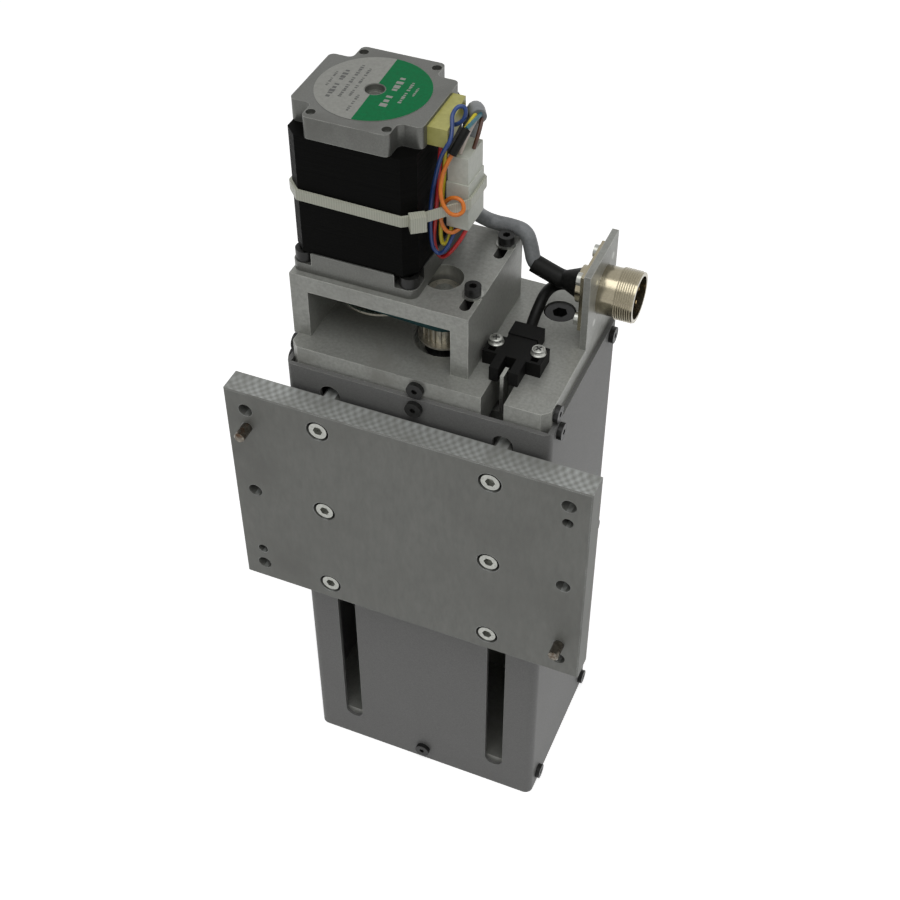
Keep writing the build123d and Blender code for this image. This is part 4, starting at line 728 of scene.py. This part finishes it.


# a mesh piece that rides on a body and takes the finish it is given
def meshPiece(name, verts, faces, finish, body, smooth=False):
    mesh = bpy.data.meshes.new(name)
    mesh.from_pydata([(x / 1000, y / 1000, z / 1000) for x, y, z in verts], [], faces)
    mesh.update()
    shape = bmesh.new()
    shape.from_mesh(mesh)
    bmesh.ops.recalc_face_normals(shape, faces=shape.faces)
    shape.to_mesh(mesh)
    shape.free()
    mesh.materials.append(finish)
    for face in mesh.polygons:
        face.use_smooth = smooth
    obj = bpy.data.objects.new(name, mesh)
    bpy.context.scene.collection.objects.link(obj)
    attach(obj, body)


# a thin flat plate cut to an outline, lying at a height
def flatPlate(name, outline, low, high, finish, hole=None):
    count = len(outline)
    verts = [(x, y, low) for x, y in outline] + [(x, y, high) for x, y in outline]
    faces = [(i, (i + 1) % count, count + (i + 1) % count, count + i) for i in range(count)]
    if hole:
        start = len(verts)
        verts += [(x, y, low) for x, y in hole] + [(x, y, high) for x, y in hole]
        for i in range(count):
            j = (i + 1) % count
            faces.append((start + i, start + j, start + count + j, start + count + i))
            faces.append((count + i, count + j, start + count + j, start + count + i))
            faces.append((i, j, start + j, start + i))
    else:
        faces.append(tuple(range(count)))
        faces.append(tuple(range(2 * count - 1, count - 1, -1)))
    meshPiece(name, verts, faces, finish, "frame")


# the motor's round sticker: silver and green halves with rows of plain marks
sticker = {
    "centre": (-33.4, -0.6),
    "radius": 23.4,
    "hole": 4.35,
    "holeCentre": (-32.62, -1.0),
    "top": 378.0,
    "thickness": 0.12,
    "turn": -88.0,           # degrees, along the rows
    "greenFrom": 0.5,        # mm from the middle to the green half
    "inset": 0.05,           # the green half keeps this far from the rims
    "ink": 0.02,             # thickness of each printed layer
    "steps": 96,             # round the rims
    "greenSteps": 72,        # along the green half's outer and inner edge
    "biteSteps": 24,
    "rows": [
        # across, first mark, height, marks in each word
        (-3.4, 6.5, 1.3, (3, 2, 3)), (-6.6, -13.0, 1.3, (5, 4, 2, 4)),
        (-10.2, -14.5, 1.5, (6, 3, 7)), (-14.6, -9.0, 2.3, (4, 5)), (-18.2, -6.5, 1.1, (4, 3, 2)),
    ],
    "greenRows": [(8.2, -11.0, 3.0, (4, 3)), (13.4, -9.0, 1.4, (5, 6)), (16.6, -6.0, 1.0, (7,))],
}


# the plain marks, as shares of their row's height and of one step along it
markShape = {"step": 0.95, "gap": 0.9, "width": 0.5, "wider": 0.16, "tall": 0.72,
             "taller": 0.14}


def circle(centre, radius, count):
    return [(centre[0] + radius * math.cos(2 * math.pi * i / count),
             centre[1] + radius * math.sin(2 * math.pi * i / count)) for i in range(count)]


# one row of small upright marks, as long as its words, in a fixed mix of three sizes
def rowMarks(across, start, height, words):
    shape = markShape
    step = height * shape["step"]
    marks = []
    along = start
    for number, count in enumerate(words):
        for i in range(count):
            width = step * (shape["width"] + shape["wider"] * ((i * 7 + number * 3) % 3))
            tall = height * (shape["tall"] + shape["taller"] * ((i * 5 + number) % 3))
            marks.append((along, along + width, across - tall / 2, across + tall / 2))
            along += step
        along += step * shape["gap"]
    return marks


def makeSticker(spec):
    turn = math.radians(spec["turn"])
    top = spec["top"]
    face = top + spec["thickness"]
    flatPlate("labelDisc", circle(spec["centre"], spec["radius"], spec["steps"]), top, face,
              finishes["labelSilver"],
              circle(spec["holeCentre"], spec["hole"], spec["steps"]))

    def onLabel(along, across):
        x = spec["centre"][0] + along * math.cos(turn) - across * math.sin(turn)
        y = spec["centre"][1] + along * math.sin(turn) + across * math.cos(turn)
        return (x, y)

    edge = spec["radius"] - spec["inset"]
    reach = math.acos(spec["greenFrom"] / edge)
    count = spec["greenSteps"]
    rim = [math.pi / 2 - reach + 2 * reach * i / count for i in range(count + 1)]
    outline = [onLabel(edge * math.cos(a), edge * math.sin(a)) for a in rim]
    hole = spec["hole"] + spec["inset"]
    cx = spec["holeCentre"][0] - spec["centre"][0]
    cy = spec["holeCentre"][1] - spec["centre"][1]
    along = cx * math.cos(turn) + cy * math.sin(turn)
    across = cy * math.cos(turn) - cx * math.sin(turn)
    low = math.asin((spec["greenFrom"] - across) / hole)
    count = spec["biteSteps"]
    bite = [math.pi - low - (math.pi - 2 * low) * i / count for i in range(count + 1)]
    outline += [onLabel(along + hole * math.cos(a), across + hole * math.sin(a)) for a in bite]
    ink = spec["ink"]
    flatPlate("labelGreen", outline, face, face + ink, finishes["labelGreen"])
    rows = [(row, face, "labelInk") for row in spec["rows"]]
    rows += [(row, face + ink, "labelSilver") for row in spec["greenRows"]]
    verts = {"labelInk": [], "labelSilver": []}
    for row, low, finish in rows:
        for first, last, near, far in rowMarks(*row):
            corners = [(first, near), (last, near), (last, far), (first, far)]
            for height in (low, low + ink):
                for a, b in corners:
                    verts[finish].append((*onLabel(a, b), height))
    for name, finish, slotName in (("labelMarks", "labelInk", "black_plastic"),
                                   ("greenMarks", "labelSilver", "white_plastic")):
        points = verts[finish]
        faces = []
        for first in range(0, len(points), 8):
            ring = range(4)
            faces.append(tuple(first + i for i in ring))
            faces.append(tuple(first + 4 + i for i in ring))
            for i in ring:
                j = (i + 1) % 4
                faces.append((first + i, first + j, first + 4 + j, first + 4 + i))
        meshPiece(name, points, faces, finishes[finish], "frame")


makeSticker(sticker)

# the socket's outside thread, wound as one ridge
thread = {
    "centre": (24.0, 289.0),
    "start": 66.4,
    "end": 74.3,
    "pitch": 1.0,
    "root": 10.8,            # radius, just inside the shell
    "crest": 11.42,
    "rootHalf": 0.42,        # half widths, the first as a share of the pitch
    "crestHalf": 0.08,
    "steps": 48,             # to one turn
}


def makeThread(spec):
    turns = (spec["end"] - spec["start"]) / spec["pitch"]
    count = int(turns * spec["steps"])
    verts = []
    faces = []
    for i in range(count + 1):
        angle = 2 * math.pi * i / spec["steps"]
        x = spec["start"] + spec["pitch"] * i / spec["steps"]
        half = spec["pitch"] * spec["rootHalf"]
        flat = spec["crestHalf"]
        for shift, radius in ((-half, spec["root"]), (-flat, spec["crest"]),
                              (flat, spec["crest"]), (half, spec["root"])):
            verts.append((x + shift, spec["centre"][0] + radius * math.cos(angle),
                          spec["centre"][1] + radius * math.sin(angle)))
        if i:
            first = 4 * (i - 1)
            for k in range(4):
                n = (k + 1) % 4
                faces.append((first + k, first + n, first + 4 + n, first + 4 + k))
    faces.append((0, 1, 2, 3))
    last = 4 * count
    faces.append((last + 3, last + 2, last + 1, last))
    meshPiece("socketThread", verts, faces, finishes["nickel"], "frame", True)


makeThread(thread)

# pan heads with a cross recess on the sensor
crossScrews = {
    "places": [(24.7, -12.4, 277.0), (43.7, -12.4, 277.0)],
    # radius and height, from the washer's foot to the tip
    "profile": [(3.4, 0), (3.4, 0.5), (2.9, 0.5), (2.9, 1.5), (2.9 * 0.93, 2.0),
                (2.9 * 0.7, 2.4), (0.0, 2.6)],
    "arm": 1.5,
    "armHalf": 0.32,
    "recess": (2.2, 2.66),   # from and to, over the washer's foot
    "turns": (20, 37),       # degrees: the first screw's turn, and what the next adds
    "steps": 32,
}


def makeCrossScrews(spec):
    profile = spec["profile"]
    count = spec["steps"]
    for number, (x, y, z) in enumerate(spec["places"]):
        verts = []
        faces = []
        for radius, height in profile[:-1]:
            for px, py in circle((x, y), radius, count):
                verts.append((px, py, z + height))
        verts.append((x, y, z + profile[-1][1]))
        tip = len(verts) - 1
        for ring in range(len(profile) - 2):
            for i in range(count):
                j = (i + 1) % count
                faces.append((ring * count + i, ring * count + j, (ring + 1) * count + j,
                              (ring + 1) * count + i))
        last = (len(profile) - 2) * count
        faces += [(last + i, last + (i + 1) % count, tip) for i in range(count)]
        faces.append(tuple(range(count - 1, -1, -1)))
        meshPiece(f"crossHead{number}", verts, faces, finishes["brightSteel"], "frame",
                  True)
        arm, wide = spec["arm"], spec["armHalf"]
        outline = [(-wide, -arm), (wide, -arm), (wide, -wide), (arm, -wide), (arm, wide),
                   (wide, wide), (wide, arm), (-wide, arm), (-wide, wide), (-arm, wide),
                   (-arm, -wide), (-wide, -wide)]
        turn = math.radians(spec["turns"][0] + spec["turns"][1] * number)
        turned = [(x + px * math.cos(turn) - py * math.sin(turn),
                   y + px * math.sin(turn) + py * math.cos(turn)) for px, py in outline]
        low, high = (z + height for height in spec["recess"])
        # the cross recess is a dark slab on the head, its colour painted shade standing in for the
        # hollow
        flatPlate(f"crossRecess{number}", turned, low, high, finishes["recess"])


makeCrossScrews(crossScrews)
print("details added")
